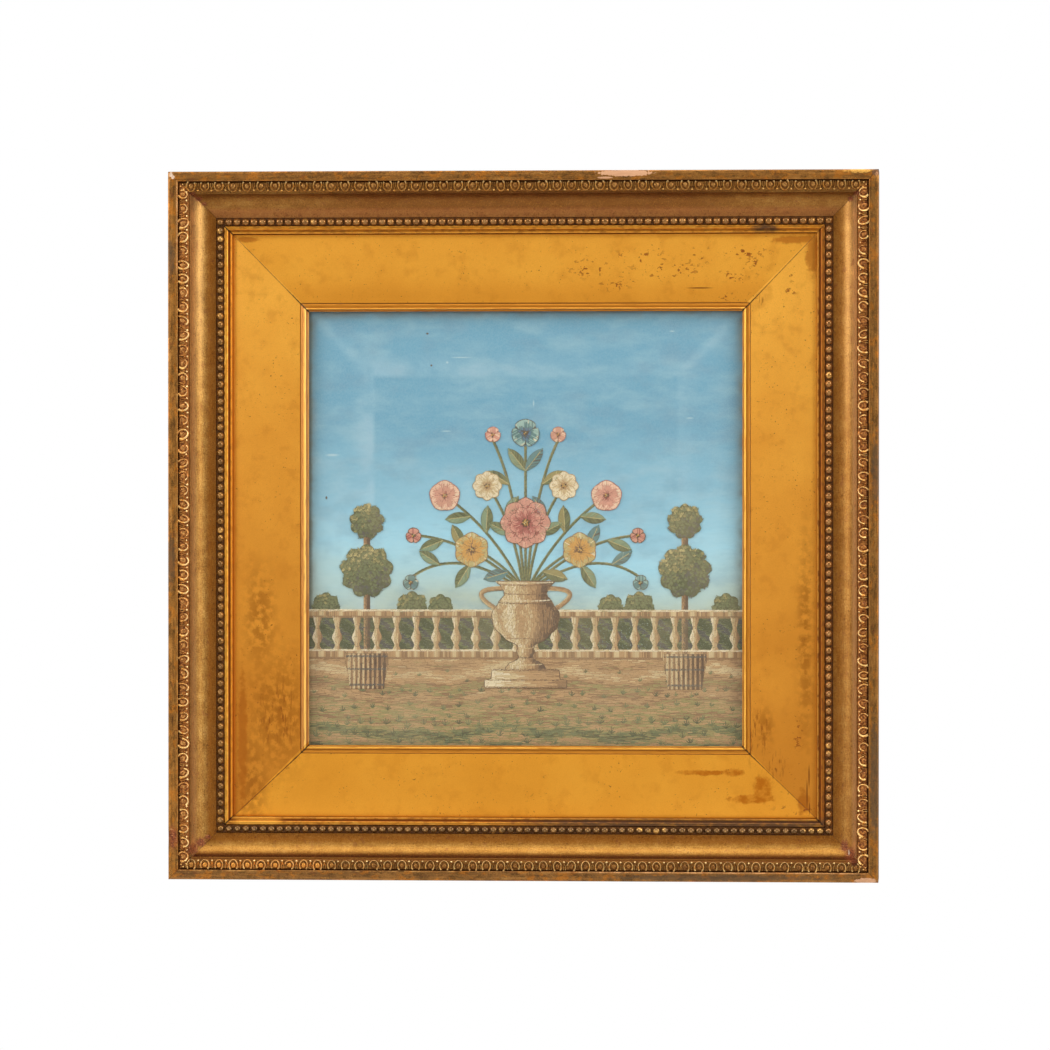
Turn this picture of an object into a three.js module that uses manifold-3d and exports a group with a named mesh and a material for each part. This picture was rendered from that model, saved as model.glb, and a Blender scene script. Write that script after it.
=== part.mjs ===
// A square silk needlework picture in its gilt frame, as it hangs on a wall: four mitred outer
// rails with pressed ornament, a wide gilt liner, a narrow sight slip, glass, the embroidered silk
// on its strainer, and a backboard.
//
// Millimetres, +Z up. The front faces -Y and the back lies in the plane y = 0. The origin is the
// centre of the top rail's back face. In a section, "across" is the distance in from a piece's
// outer edge and "height" is the distance out from the wall.

import * as THREE from "three";
import { mergeVertices } from "three/addons/utils/BufferGeometryUtils.js";
import Module from "manifold-3d";

const wasm = await Module();
wasm.setup();

// Overall sizes
const FRAME_WIDTH = 497;
const FRAME_HEIGHT = 496;
const FRAME_DEPTH = 45;
const GAP = 0.3;
const MITRE_TRIM = GAP / Math.SQRT2;

// Outer rail, from its outer edge in: flat, ornament bed, quirk, cavetto, bead bed, two fillets
const RAIL_WIDTH = 42.9;
const LIP_WIDTH = 5.2;
const LIP_BACK = 23.2;
const ARRIS = 0.8;
const EDGE_FLAT = 6.9;
const EGG_BED = { to: 14.3, height: 41.6 };
const QUIRK = { to: 15.4, height: 40.4 };
const CAVETTO = { to: 31.8, low: 27.2, steps: 8 };
const BEAD_BED = { to: 37.5, height: 26.2 };
const OUTER_FILLET = { to: 40.2, height: 28 };
const COVE = { to: 41.7, height: 25.6 };
const INNER_FILLET_HEIGHT = 26.1;

// Liner and sight slip. The hand-cut liner leaves the sight a little low and to the right
const SIGHT = 305;
const SIGHT_SHIFT = 0.7;
const SIGHT_DROP = 2.1;
const LINER_FRONT = LIP_BACK - GAP;
const SLIP_WIDTH = 5.7;
const SLIP_GROOVE = 0.5;
const SLIP_SHOULDER = { across: 1.1, height: 23 };
const ASTRAGAL = { width: 2.2, rise: 1.2, steps: 5 };
const SLIP_EDGE = { width: 0.6, height: 21.4 };

// Glass, silk, strainer and board, one behind the other
const GLASS_THICKNESS = 2;
const GLASS_FRONT = 20;
const SLIP_BACK = GLASS_FRONT + GAP;
const SILK_FRONT = 16.6;
const SILK_THICKNESS = 1.2;
const STRAINER_FRONT = SILK_FRONT - SILK_THICKNESS - GAP;
const STRAINER_THICKNESS = 9;
const STRAINER_WIDTH = 52;
const BOARD_THICKNESS = 4;
const BOARD_FRONT = STRAINER_FRONT - STRAINER_THICKNESS - GAP;
const LINER_BACK = BOARD_FRONT + GAP;

// Pressed ornament
const EGG_STRIP = { from: 7.8, to: 14, thickness: 0.9, perSide: 48, radius: 3, rise: 1.9, facets: 4 };
const BEAD_STRIP = { from: 32.1, to: 37.2, thickness: 0.7, perSide: 71, radius: 2.4, rise: 2.9, facets: 6 };
const ORNAMENT_SINK = 0.3;
const LUMP_TOP = 0.55;

const BACK_FACE_WIDTH = RAIL_WIDTH - LIP_WIDTH;
const FRAME_TOP = BACK_FACE_WIDTH / 2;
const FRAME_CENTRE = new THREE.Vector2(0, FRAME_TOP - FRAME_HEIGHT / 2);
const SIGHT_CENTRE = new THREE.Vector2(SIGHT_SHIFT, FRAME_CENTRE.y - SIGHT_DROP);

const SIDES = {
  top: ["topLeft", "topRight"],
  right: ["topRight", "bottomRight"],
  bottom: ["bottomRight", "bottomLeft"],
  left: ["bottomLeft", "topLeft"],
};

// A rectangle in the plane of the wall, by its four corners as (x, z)
function rectangle(width, height, centre) {
  const corner = (across, up) =>
    new THREE.Vector2(centre.x + (across * width) / 2, centre.y + (up * height) / 2);
  return {
    topLeft: corner(-1, 1),
    topRight: corner(1, 1),
    bottomRight: corner(1, -1),
    bottomLeft: corner(-1, -1),
  };
}

const frameRectangle = (inset) =>
  rectangle(FRAME_WIDTH - 2 * inset, FRAME_HEIGHT - 2 * inset, FRAME_CENTRE);
const sightRectangle = (outset) => rectangle(SIGHT + 2 * outset, SIGHT + 2 * outset, SIGHT_CENTRE);

// Indexed geometry from points and triangles, with its faces turned outward
function closedGeometry(points, triangles) {
  const volume = triangles.reduce((sum, [a, b, c]) => {
    const normal = new THREE.Vector3().crossVectors(points[b], points[c]);
    return sum + points[a].dot(normal);
  }, 0);
  const facing = volume < 0 ? triangles.map(([a, b, c]) => [a, c, b]) : triangles;
  return new THREE.BufferGeometry().setFromPoints(points).setIndex(facing.flat());
}

// A bar of constant section along one side of a frame, mitred at both ends. Each section point is
// [share of the way from the outer to the inner rectangle, height], so the mitres stay flat where
// the two rectangles aren't concentric
function mitredBar(section, outer, inner, side) {
  const asOutline = (rows) => rows.map(([share, height]) => new THREE.Vector2(share, height));
  const rows = THREE.ShapeUtils.isClockWise(asOutline(section)) ? section.toReversed() : section;
  const ends = SIDES[side].map((corner) =>
    rows.map(([share]) => new THREE.Vector2().lerpVectors(outer[corner], inner[corner], share)),
  );
  const trim = ends[1][0].clone().sub(ends[0][0]).setLength(MITRE_TRIM);
  const points = ends.flatMap((end, which) =>
    end.map((corner, i) => {
      const at = which === 0 ? corner.add(trim) : corner.sub(trim);
      return new THREE.Vector3(at.x, -rows[i][1], at.y);
    }),
  );
  const count = rows.length;
  const triangles = THREE.ShapeUtils.triangulateShape(asOutline(rows), []).flatMap(([a, b, c]) => [
    [a, b, c],
    [count + c, count + b, count + a],
  ]);
  rows.forEach((_, i) => {
    const next = (i + 1) % count;
    triangles.push([next, i, count + i], [next, count + i, count + next]);
  });
  return closedGeometry(points, triangles);
}

// A section given in millimetres across, as shares of the distance between two rectangles
const inShares = (section, width) => section.map(([across, height]) => [across / width, height]);

function solidOf(geometry) {
  const bare = geometry.clone();
  bare.deleteAttribute("normal");
  bare.deleteAttribute("uv");
  const merged = mergeVertices(bare);
  return new wasm.Manifold(
    new wasm.Mesh({
      numProp: 3,
      vertProperties: merged.attributes.position.array,
      triVerts: new Uint32Array(merged.index.array),
    }),
  );
}

function joined(geometries) {
  const mesh = geometries
    .map(solidOf)
    .reduce((whole, piece) => whole.add(piece))
    .getMesh();
  return new THREE.BufferGeometry()
    .setAttribute("position", new THREE.BufferAttribute(mesh.vertProperties, 3))
    .setIndex(new THREE.BufferAttribute(mesh.triVerts, 1));
}

// The outer rail's section, from its back outer corner round to the rebate
function railSection() {
  const edge = FRAME_DEPTH - ARRIS;
  const hollowTop = QUIRK.height - ARRIS;
  const hollow = Array.from({ length: CAVETTO.steps + 1 }, (_, i) => {
    const angle = (i / CAVETTO.steps) * (Math.PI / 2);
    return [
      CAVETTO.to - (CAVETTO.to - QUIRK.to) * Math.cos(angle),
      hollowTop - (hollowTop - CAVETTO.low) * Math.sin(angle),
    ];
  });
  return [
    [0, 0],
    [0, edge],
    [ARRIS, FRAME_DEPTH],
    [EDGE_FLAT - ARRIS, FRAME_DEPTH],
    [EDGE_FLAT, edge],
    [EDGE_FLAT, EGG_BED.height],
    [EGG_BED.to, EGG_BED.height],
    [EGG_BED.to, QUIRK.height],
    [QUIRK.to, QUIRK.height],
    ...hollow,
    [CAVETTO.to, BEAD_BED.height],
    [BEAD_BED.to, BEAD_BED.height],
    [BEAD_BED.to, OUTER_FILLET.height - ARRIS],
    [BEAD_BED.to + ARRIS, OUTER_FILLET.height],
    [OUTER_FILLET.to - ARRIS, OUTER_FILLET.height],
    [OUTER_FILLET.to, OUTER_FILLET.height - ARRIS],
    [OUTER_FILLET.to, COVE.height],
    [COVE.to, COVE.height],
    [COVE.to, INNER_FILLET_HEIGHT],
    [RAIL_WIDTH, INNER_FILLET_HEIGHT],
    [RAIL_WIDTH, LIP_BACK],
    [BACK_FACE_WIDTH, LIP_BACK],
    [BACK_FACE_WIDTH, 0],
  ];
}

function outerRail(side) {
  const section = inShares(railSection(), RAIL_WIDTH);
  return mitredBar(section, frameRectangle(0), frameRectangle(RAIL_WIDTH), side);
}

// A low faceted lump standing on a strip, its axis towards the viewer
function lump({ radius, rise, facets }, at, foot) {
  const length = rise + ORNAMENT_SINK;
  const faceted = new THREE.CylinderGeometry(radius * LUMP_TOP, radius, length, facets);
  faceted.rotateX(Math.PI);
  faceted.translate(at.x, -(foot + rise - length / 2), at.y);
  return faceted;
}

// The flat backing of an ornament strip
function stripBase(strip, bed, side) {
  const section = [
    [strip.from, bed + GAP],
    [strip.to, bed + GAP],
    [strip.to, bed + GAP + strip.thickness],
    [strip.from, bed + GAP + strip.thickness],
  ];
  const shares = inShares(section, RAIL_WIDTH);
  return mitredBar(shares, frameRectangle(0), frameRectangle(RAIL_WIDTH), side);
}

// A strip with evenly spaced lumps along its centre line, the first one firstStep pitches from
// the corner
function ornamentStrip(strip, bed, side, firstStep) {
  const line = frameRectangle((strip.from + strip.to) / 2);
  const [start, end] = SIDES[side].map((corner) => line[corner]);
  const count = strip.perSide - 2 * firstStep + 1;
  const lumps = Array.from({ length: count }, (_, i) => {
    const share = (firstStep + i) / strip.perSide;
    const at = new THREE.Vector2().lerpVectors(start, end, share);
    return lump(strip, at, bed + GAP + strip.thickness);
  });
  return joined([stripBase(strip, bed, side), ...lumps]);
}

const eggStrip = (side) => ornamentStrip(EGG_STRIP, EGG_BED.height, side, 0.5);
const beadStrip = (side) => ornamentStrip(BEAD_STRIP, BEAD_BED.height, side, 1);

// A flat gilt bar between the outer rail's rebate and the slip
function linerRail(side) {
  const section = [
    [0, LINER_BACK],
    [0, LINER_FRONT],
    [1, LINER_FRONT],
    [1, LINER_BACK],
  ];
  return mitredBar(section, frameRectangle(BACK_FACE_WIDTH + GAP), sightRectangle(SLIP_WIDTH), side);
}

// The sight slip: groove against the liner, shoulder, round astragal, slope and thin inner edge
function sightSlip(side) {
  const round = Array.from({ length: ASTRAGAL.steps + 1 }, (_, i) => {
    const angle = (i / ASTRAGAL.steps) * Math.PI;
    return [
      SLIP_SHOULDER.across + (ASTRAGAL.width * (1 - Math.cos(angle))) / 2,
      SLIP_SHOULDER.height + ASTRAGAL.rise * Math.sin(angle),
    ];
  });
  const section = [
    [GAP, SLIP_BACK],
    [GAP, LINER_FRONT - SLIP_GROOVE],
    [GAP + SLIP_GROOVE, LINER_FRONT - SLIP_GROOVE],
    ...round,
    [SLIP_WIDTH - SLIP_EDGE.width, SLIP_EDGE.height],
    [SLIP_WIDTH, SLIP_EDGE.height],
    [SLIP_WIDTH, SLIP_BACK],
  ];
  return mitredBar(inShares(section, SLIP_WIDTH), sightRectangle(SLIP_WIDTH), sightRectangle(0), side);
}

// A flat slab from one height to another
function slab(size, low, high) {
  const box = new THREE.BoxGeometry(size.width, high - low, size.height);
  box.translate(size.centre.x, -(low + high) / 2, size.centre.y);
  return box;
}

const INNER_SIZE = SIGHT + 2 * (SLIP_WIDTH - GAP);
const innerSize = { width: INNER_SIZE, height: INNER_SIZE, centre: SIGHT_CENTRE };

function glassPane() {
  return slab(innerSize, GLASS_FRONT - GLASS_THICKNESS, GLASS_FRONT);
}

function strainerBar(side) {
  const section = [
    [0, STRAINER_FRONT - STRAINER_THICKNESS],
    [0, STRAINER_FRONT],
    [1, STRAINER_FRONT],
    [1, STRAINER_FRONT - STRAINER_THICKNESS],
  ];
  const outset = (INNER_SIZE - SIGHT) / 2;
  return mitredBar(section, sightRectangle(outset), sightRectangle(outset - STRAINER_WIDTH), side);
}

function backboard() {
  const inset = BACK_FACE_WIDTH + GAP;
  const size = {
    width: FRAME_WIDTH - 2 * inset,
    height: FRAME_HEIGHT - 2 * inset,
    centre: FRAME_CENTRE,
  };
  return slab(size, BOARD_FRONT - BOARD_THICKNESS, BOARD_FRONT);
}

// The needlework's design, in millimetres right and up from the centre of the sight: an urn of
// flowers before a balustrade, a clipped tree in a tub on each side, and bands of stitched ground.
// Rows with right > 0 are worked again on the left
const GROUND_TOP = -91;
const RAIL_BANDS = [
  { name: "base", low: -92, high: -85 },
  { name: "coping", low: -63, high: -57 },
];
const BALUSTER_FOOT = -86;
const BALUSTER = [
  { up: 0, half: 3 },
  { up: 4, half: 1.5 },
  { up: 9, half: 3.6 },
  { up: 16, half: 1.4 },
  { up: 24, half: 3 },
];
const BALUSTER_PITCH = 14;
const BALUSTER_COUNT = 22;
const SHRUBS = [
  { right: 60, up: -55, radius: 9 },
  { right: 80, up: -55, radius: 11 },
  { right: 141, up: -55, radius: 10 },
];
const URN_FOOT = -100;
const URN = [
  { up: 0, half: 15 },
  { up: 4, half: 13 },
  { up: 9, half: 4.5 },
  { up: 14, half: 6.5 },
  { up: 17, half: 5 },
  { up: 23, half: 15 },
  { up: 31, half: 22.5 },
  { up: 40, half: 24 },
  { up: 48, half: 19 },
  { up: 54, half: 14.5 },
  { up: 59, half: 17 },
  { up: 63, half: 21 },
];
const PLINTH = [
  { up: -112, half: 29 },
  { up: -106, half: 29 },
  { up: -106, half: 24 },
  { up: URN_FOOT + 1, half: 24 },
];
const HANDLE = { from: [20, -57], bend: [45, -42], to: [15, -42], width: 3 };
const TUB = [
  { up: -113, half: 12 },
  { up: -92, half: 15 },
  { up: -88, half: 15 },
];
const TREE = { right: 112, foot: -90, trunk: 4.5 };
const TREE_HEADS = [
  { up: -30, radius: 19 },
  { up: 5, radius: 12.5 },
];
const STEMS = [
  { name: "tulip", from: [0, -40], bend: [0, 10], to: [0, 58] },
  { name: "sprig", from: [1, -40], bend: [6, 28], to: [23, 62] },
  { name: "daisy", from: [2, -40], bend: [8, 4], to: [27, 30] },
  { name: "pink", from: [3, -40], bend: [22, -2], to: [54, 21] },
  { name: "gold", from: [4, -40], bend: [14, -26], to: [36, -14] },
  { name: "bud", from: [5, -40], bend: [40, -8], to: [76, -5] },
  { name: "bell", from: [7, -40], bend: [50, -12], to: [80, -34] },
];
const STEM_WIDTH = 2;
const FLOWERS = [
  { right: 0, up: 4, radius: 18, petals: 8 },
  { right: 0, up: 67, radius: 10, petals: 3 },
  { right: 23, up: 66, radius: 5.5, petals: 3 },
  { right: 27, up: 30, radius: 10.5, petals: 8 },
  { right: 57, up: 23, radius: 11, petals: 5 },
  { right: 38, up: -15, radius: 12.5, petals: 6 },
  { right: 79, up: -5, radius: 5.5, petals: 3 },
  { right: 81, up: -38, radius: 5.5, petals: 3 },
];
const LEAVES = [
  { stem: "tulip", share: 0.82, turn: 38, length: 20, width: 8 },
  { stem: "sprig", share: 0.62, turn: -42, length: 17, width: 7 },
  { stem: "daisy", share: 0.62, turn: 55, length: 18, width: 8 },
  { stem: "daisy", share: 0.45, turn: -45, length: 18, width: 8 },
  { stem: "pink", share: 0.55, turn: 45, length: 19, width: 8.5 },
  { stem: "pink", share: 0.75, turn: -50, length: 18, width: 8 },
  { stem: "bud", share: 0.55, turn: 40, length: 18, width: 8 },
  { stem: "bud", share: 0.75, turn: -38, length: 18, width: 8 },
  { stem: "bell", share: 0.4, turn: -70, length: 19, width: 8.5 },
  { stem: "bell", share: 0.7, turn: 45, length: 17, width: 7.5 },
  { stem: "gold", share: 0.35, turn: -60, length: 18, width: 8.5 },
];
const WORKED_MARGIN = 3;
const RELIEF = { ground: 0.35, wall: 0.5, motif: 0.7, flower: 0.8 };
const PETAL_DEPTH = 0.16;
const SHRUB_LOBES = 7;
const TREE_LOBES = 9;
const STEM_STEPS = 4;
const STALK_WIDTH = 1.4;
const LEAF_STATIONS = [0, 0.3, 0.65];

const radians = THREE.MathUtils.degToRad;
const mirrored = (rows) =>
  rows.flatMap((row) => (row.right > 0 ? [row, { ...row, right: -row.right }] : [row]));

// A shape of the needlework, raised from the silk and placed on the sheet
function raised(outline, rise) {
  const depth = SILK_THICKNESS / 2 + rise;
  const shape = new THREE.Shape(outline.map(([right, up]) => new THREE.Vector2(right, up)));
  const block = new THREE.ExtrudeGeometry(shape, { depth, bevelEnabled: false });
  block.rotateX(Math.PI / 2);
  block.translate(SIGHT_CENTRE.x, -(SILK_FRONT - SILK_THICKNESS / 2), SIGHT_CENTRE.y);
  return block;
}

const band = (low, high, half) => [
  [-half, low],
  [half, low],
  [half, high],
  [-half, high],
];

// The outline of something turned or symmetrical, from rows of height and half width
const turnedOutline = (rows, right, foot) => [
  ...rows.map(({ up, half }) => [right + half, foot + up]),
  ...rows.toReversed().map(({ up, half }) => [right - half, foot + up]),
];

const bloomOutline = ({ right, up, radius, petals }) => {
  const count = petals * 2;
  return Array.from({ length: count }, (_, i) => {
    const angle = (i / count) * 2 * Math.PI;
    const reach = radius * (1 - PETAL_DEPTH * (i % 2));
    return [right + reach * Math.sin(angle), up + reach * Math.cos(angle)];
  });
};

const curveOf = ({ from, bend, to }, side) =>
  new THREE.QuadraticBezierCurve(
    ...[from, bend, to].map(([right, up]) => new THREE.Vector2(side * right, up)),
  );

function stemOutline(curve, width) {
  const steps = Array.from({ length: STEM_STEPS + 1 }, (_, i) => i / STEM_STEPS);
  const edge = (share, offset) => {
    const at = curve.getPoint(share);
    const along = curve.getTangent(share);
    return [at.x - along.y * offset, at.y + along.x * offset];
  };
  return [
    ...steps.map((share) => edge(share, -width / 2)),
    ...steps.toReversed().map((share) => edge(share, width / 2)),
  ];
}

// A pointed oval leaf that leaves its stem at an angle
function leafOutline({ stem, share, turn, length, width }, side) {
  const curve = curveOf(
    STEMS.find(({ name }) => name === stem),
    side,
  );
  const root = curve.getPoint(share);
  const along = curve.getTangent(share);
  const angle = Math.atan2(along.y, along.x) + side * radians(turn);
  const ahead = new THREE.Vector2(Math.cos(angle), Math.sin(angle));
  const edge = (share, hand) => {
    const half = hand * (STALK_WIDTH + (width - STALK_WIDTH) * Math.sin(Math.PI * share)) / 2;
    return [
      root.x + ahead.x * share * length - ahead.y * half,
      root.y + ahead.y * share * length + ahead.x * half,
    ];
  };
  return [
    ...LEAF_STATIONS.map((share) => edge(share, -1)),
    edge(1, 0),
    ...LEAF_STATIONS.toReversed().map((share) => edge(share, 1)),
  ];
}

function wallAndGround() {
  const half = INNER_SIZE / 2 - WORKED_MARGIN;
  const ground = raised(band(-half, GROUND_TOP, half), RELIEF.ground);
  const rails = RAIL_BANDS.map(({ low, high }) => raised(band(low, high, half), RELIEF.wall));
  const first = (-(BALUSTER_COUNT - 1) / 2) * BALUSTER_PITCH;
  const balusters = Array.from({ length: BALUSTER_COUNT }, (_, i) =>
    raised(turnedOutline(BALUSTER, first + i * BALUSTER_PITCH, BALUSTER_FOOT), RELIEF.wall),
  );
  const shrubs = mirrored(SHRUBS).map((shrub) =>
    raised(bloomOutline({ ...shrub, petals: SHRUB_LOBES }), RELIEF.ground),
  );
  return [ground, ...rails, ...balusters, ...shrubs];
}

function urnAndTrees() {
  const urn = raised(turnedOutline(URN, 0, URN_FOOT), RELIEF.motif);
  const plinth = raised(turnedOutline(PLINTH, 0, 0), RELIEF.motif);
  const handles = [1, -1].map((side) =>
    raised(stemOutline(curveOf(HANDLE, side), HANDLE.width), RELIEF.motif),
  );
  const trees = [1, -1].flatMap((side) => {
    const right = side * TREE.right;
    const trunk = band(TREE.foot, TREE_HEADS[1].up, TREE.trunk / 2);
    return [
      raised(turnedOutline(TUB, right, 0), RELIEF.motif),
      raised(
        trunk.map(([x, up]) => [x + right, up]),
        RELIEF.motif,
      ),
      ...TREE_HEADS.map((head) =>
        raised(bloomOutline({ ...head, right, petals: TREE_LOBES }), RELIEF.motif),
      ),
    ];
  });
  return [urn, plinth, ...handles, ...trees];
}

function bouquet() {
  const sides = (stem) => (stem.to[0] > 0 ? [1, -1] : [1]);
  const stems = STEMS.flatMap((stem) =>
    sides(stem).map((side) => raised(stemOutline(curveOf(stem, side), STEM_WIDTH), RELIEF.ground)),
  );
  const leaves = LEAVES.flatMap((leaf) =>
    [1, -1].map((side) => raised(leafOutline(leaf, side), RELIEF.motif)),
  );
  const flowers = mirrored(FLOWERS).map((flower) => raised(bloomOutline(flower), RELIEF.flower));
  return [...stems, ...leaves, ...flowers];
}

function embroideredSilk() {
  const sheet = slab(innerSize, SILK_FRONT - SILK_THICKNESS, SILK_FRONT);
  return joined([sheet, ...wallAndGround(), ...urnAndTrees(), ...bouquet()]);
}

const FINISHES = {
  darkGilt: { color: "#8f6233", roughness: 0.45, metalness: 0.8 },
  bronzeGilt: { color: "#74502c", roughness: 0.35, metalness: 0.8 },
  brightGilt: { color: "#d28e36", roughness: 0.4, metalness: 0.8 },
  glass: { color: "#f4f7f5", roughness: 0.05, metalness: 0, transparent: true, opacity: 0.2 },
  silk: { color: "#8fb3ba", roughness: 0.7, metalness: 0 },
  wood: { color: "#a9835a", roughness: 0.8, metalness: 0 },
};

const picture = new THREE.Group();

function addPiece(name, geometry, finish) {
  const mesh = new THREE.Mesh(geometry, new THREE.MeshStandardMaterial(FINISHES[finish]));
  mesh.name = name;
  picture.add(mesh);
}

for (const side of Object.keys(SIDES)) {
  addPiece(`outer_rail_${side}`, outerRail(side), "darkGilt");
  addPiece(`egg_strip_${side}`, eggStrip(side), "darkGilt");
  addPiece(`bead_strip_${side}`, beadStrip(side), "bronzeGilt");
  addPiece(`liner_rail_${side}`, linerRail(side), "brightGilt");
  addPiece(`sight_slip_${side}`, sightSlip(side), "brightGilt");
  addPiece(`strainer_bar_${side}`, strainerBar(side), "wood");
}
addPiece("glass_pane", glassPane(), "glass");
addPiece("embroidered_silk", embroideredSilk(), "silk");
addPiece("backboard", backboard(), "wood");

export default picture;
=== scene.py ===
"""The looks of a square silk needlework picture in its gilt frame: moulded rails with pressed
ornament, a wide flat liner, a narrow slip, glass, and painted and embroidered silk.

Sizes are in millimetres until a mesh is made. The front faces -Y, and "height" is the distance
out from the wall. "Across" runs in from the frame's outer edge, and "along" runs clockwise.
"""

import math

import bpy
import numpy as np
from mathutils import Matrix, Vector
from mathutils.geometry import tessellate_polygon


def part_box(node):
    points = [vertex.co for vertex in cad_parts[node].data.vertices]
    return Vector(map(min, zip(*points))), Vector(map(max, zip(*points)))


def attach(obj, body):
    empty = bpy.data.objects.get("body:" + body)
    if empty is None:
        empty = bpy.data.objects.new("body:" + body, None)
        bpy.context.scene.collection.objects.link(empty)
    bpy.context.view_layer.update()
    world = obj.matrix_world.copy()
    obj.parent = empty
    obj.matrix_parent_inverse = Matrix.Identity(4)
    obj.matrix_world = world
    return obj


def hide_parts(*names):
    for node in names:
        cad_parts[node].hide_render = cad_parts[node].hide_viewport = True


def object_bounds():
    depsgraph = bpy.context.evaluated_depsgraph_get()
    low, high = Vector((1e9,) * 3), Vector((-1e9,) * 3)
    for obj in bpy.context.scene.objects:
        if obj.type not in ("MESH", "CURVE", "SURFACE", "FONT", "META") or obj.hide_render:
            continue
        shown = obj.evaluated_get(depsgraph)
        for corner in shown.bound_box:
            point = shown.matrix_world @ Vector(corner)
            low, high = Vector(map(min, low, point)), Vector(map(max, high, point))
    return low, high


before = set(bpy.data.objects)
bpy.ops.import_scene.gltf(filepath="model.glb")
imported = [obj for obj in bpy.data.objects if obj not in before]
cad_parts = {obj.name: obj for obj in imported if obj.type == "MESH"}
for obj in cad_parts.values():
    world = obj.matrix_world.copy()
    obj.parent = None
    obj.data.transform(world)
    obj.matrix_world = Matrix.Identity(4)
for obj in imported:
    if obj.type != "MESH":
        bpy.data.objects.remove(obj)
CAD_BOUNDS = [list(corner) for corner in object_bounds()]

MM = 0.001
SEED = 1827


# Rectangles in the plane of the wall, taken from the frame

SIDES = {
    "top": ("top_left", "top_right"),
    "right": ("top_right", "bottom_right"),
    "bottom": ("bottom_right", "bottom_left"),
    "left": ("bottom_left", "top_left"),
}


def box_mm(node):
    """A node's lowest and highest corners in millimetres."""
    return [np.array(corner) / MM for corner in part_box(node)]


def rectangle(left, right, bottom, top):
    return {
        "top_left": np.array([left, top]),
        "top_right": np.array([right, top]),
        "bottom_right": np.array([right, bottom]),
        "bottom_left": np.array([left, bottom]),
    }


def edges(piece):
    """The rectangle round the outside of four mitred nodes, and the one that they leave open."""
    low, high = {}, {}
    for side in SIDES:
        low[side], high[side] = box_mm(f"{piece}_{side}")
    outer = rectangle(low["left"][0], high["right"][0], low["bottom"][2], high["top"][2])
    inner = rectangle(high["left"][0], low["right"][0], high["bottom"][2], low["top"][2])
    return outer, inner


RAIL_OUTER, RAIL_INNER = edges("outer_rail")
LINER_OUTER, LINER_INNER = edges("liner_rail")
SLIP_OUTER, SIGHT = edges("sight_slip")
RAIL_WIDTH = RAIL_INNER["top_left"][0] - RAIL_OUTER["top_left"][0]
SLIP_WIDTH = SIGHT["top_left"][0] - SLIP_OUTER["top_left"][0]
DEPTH = -box_mm("outer_rail_top")[0][1]
LINER_FRONT = -box_mm("liner_rail_top")[0][1]
LINER_BACK = -box_mm("liner_rail_top")[1][1]
LINER_COVERED = RAIL_INNER["top_left"][0] - LINER_OUTER["top_left"][0]
SLIP_BACK = -box_mm("sight_slip_top")[1][1]
MITRE_TRIM = 0.04
SIGHT_CENTRE = (SIGHT["top_left"] + SIGHT["bottom_right"]) / 2
FRAME_CENTRE = (RAIL_OUTER["top_left"] + RAIL_OUTER["bottom_right"]) / 2


# Camera: the photograph is taken from about 4 m, square on and a little from the right

CAMERA_DISTANCE = 4.0
CAMERA_AZIMUTH = math.radians(4.0)
CAMERA_ELEVATION = math.radians(0.6)
VIEW_WIDTH = 0.7367
VIEW_SHIFT = (0.00074, 0.00045)
SENSOR = 36.0


def add_camera():
    data = bpy.data.cameras.new("camera")
    data.sensor_width = SENSOR
    data.lens = SENSOR * CAMERA_DISTANCE / VIEW_WIDTH
    data.clip_end = 50
    camera = bpy.data.objects.new("camera", data)
    aim = np.array([FRAME_CENTRE[0], -LINER_FRONT, FRAME_CENTRE[1]]) * MM
    aim += np.array([VIEW_SHIFT[0], 0, VIEW_SHIFT[1]])
    level = math.cos(CAMERA_ELEVATION)
    back = np.array(
        [
            math.sin(CAMERA_AZIMUTH) * level,
            -math.cos(CAMERA_AZIMUTH) * level,
            math.sin(CAMERA_ELEVATION),
        ]
    )
    camera.location = aim + back * CAMERA_DISTANCE
    camera.rotation_euler = (math.pi / 2 - CAMERA_ELEVATION, 0, CAMERA_AZIMUTH)
    bpy.context.scene.collection.objects.link(camera)
    bpy.context.scene.camera = camera


add_camera()


# Meshes from arrays

def signed_volume(points, face_sets):
    total = 0
    for faces in face_sets:
        corners = points[faces]
        for i in range(1, faces.shape[1] - 1):
            normal = np.cross(corners[:, i], corners[:, i + 1])
            total += np.einsum("ij,ij->", corners[:, 0], normal)
    return total


def outward(points, face_sets):
    """The faces of a closed shape, turned outward."""
    if signed_volume(points - points.mean(0), face_sets) < 0:
        return [faces[:, ::-1] for faces in face_sets]
    return face_sets


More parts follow.
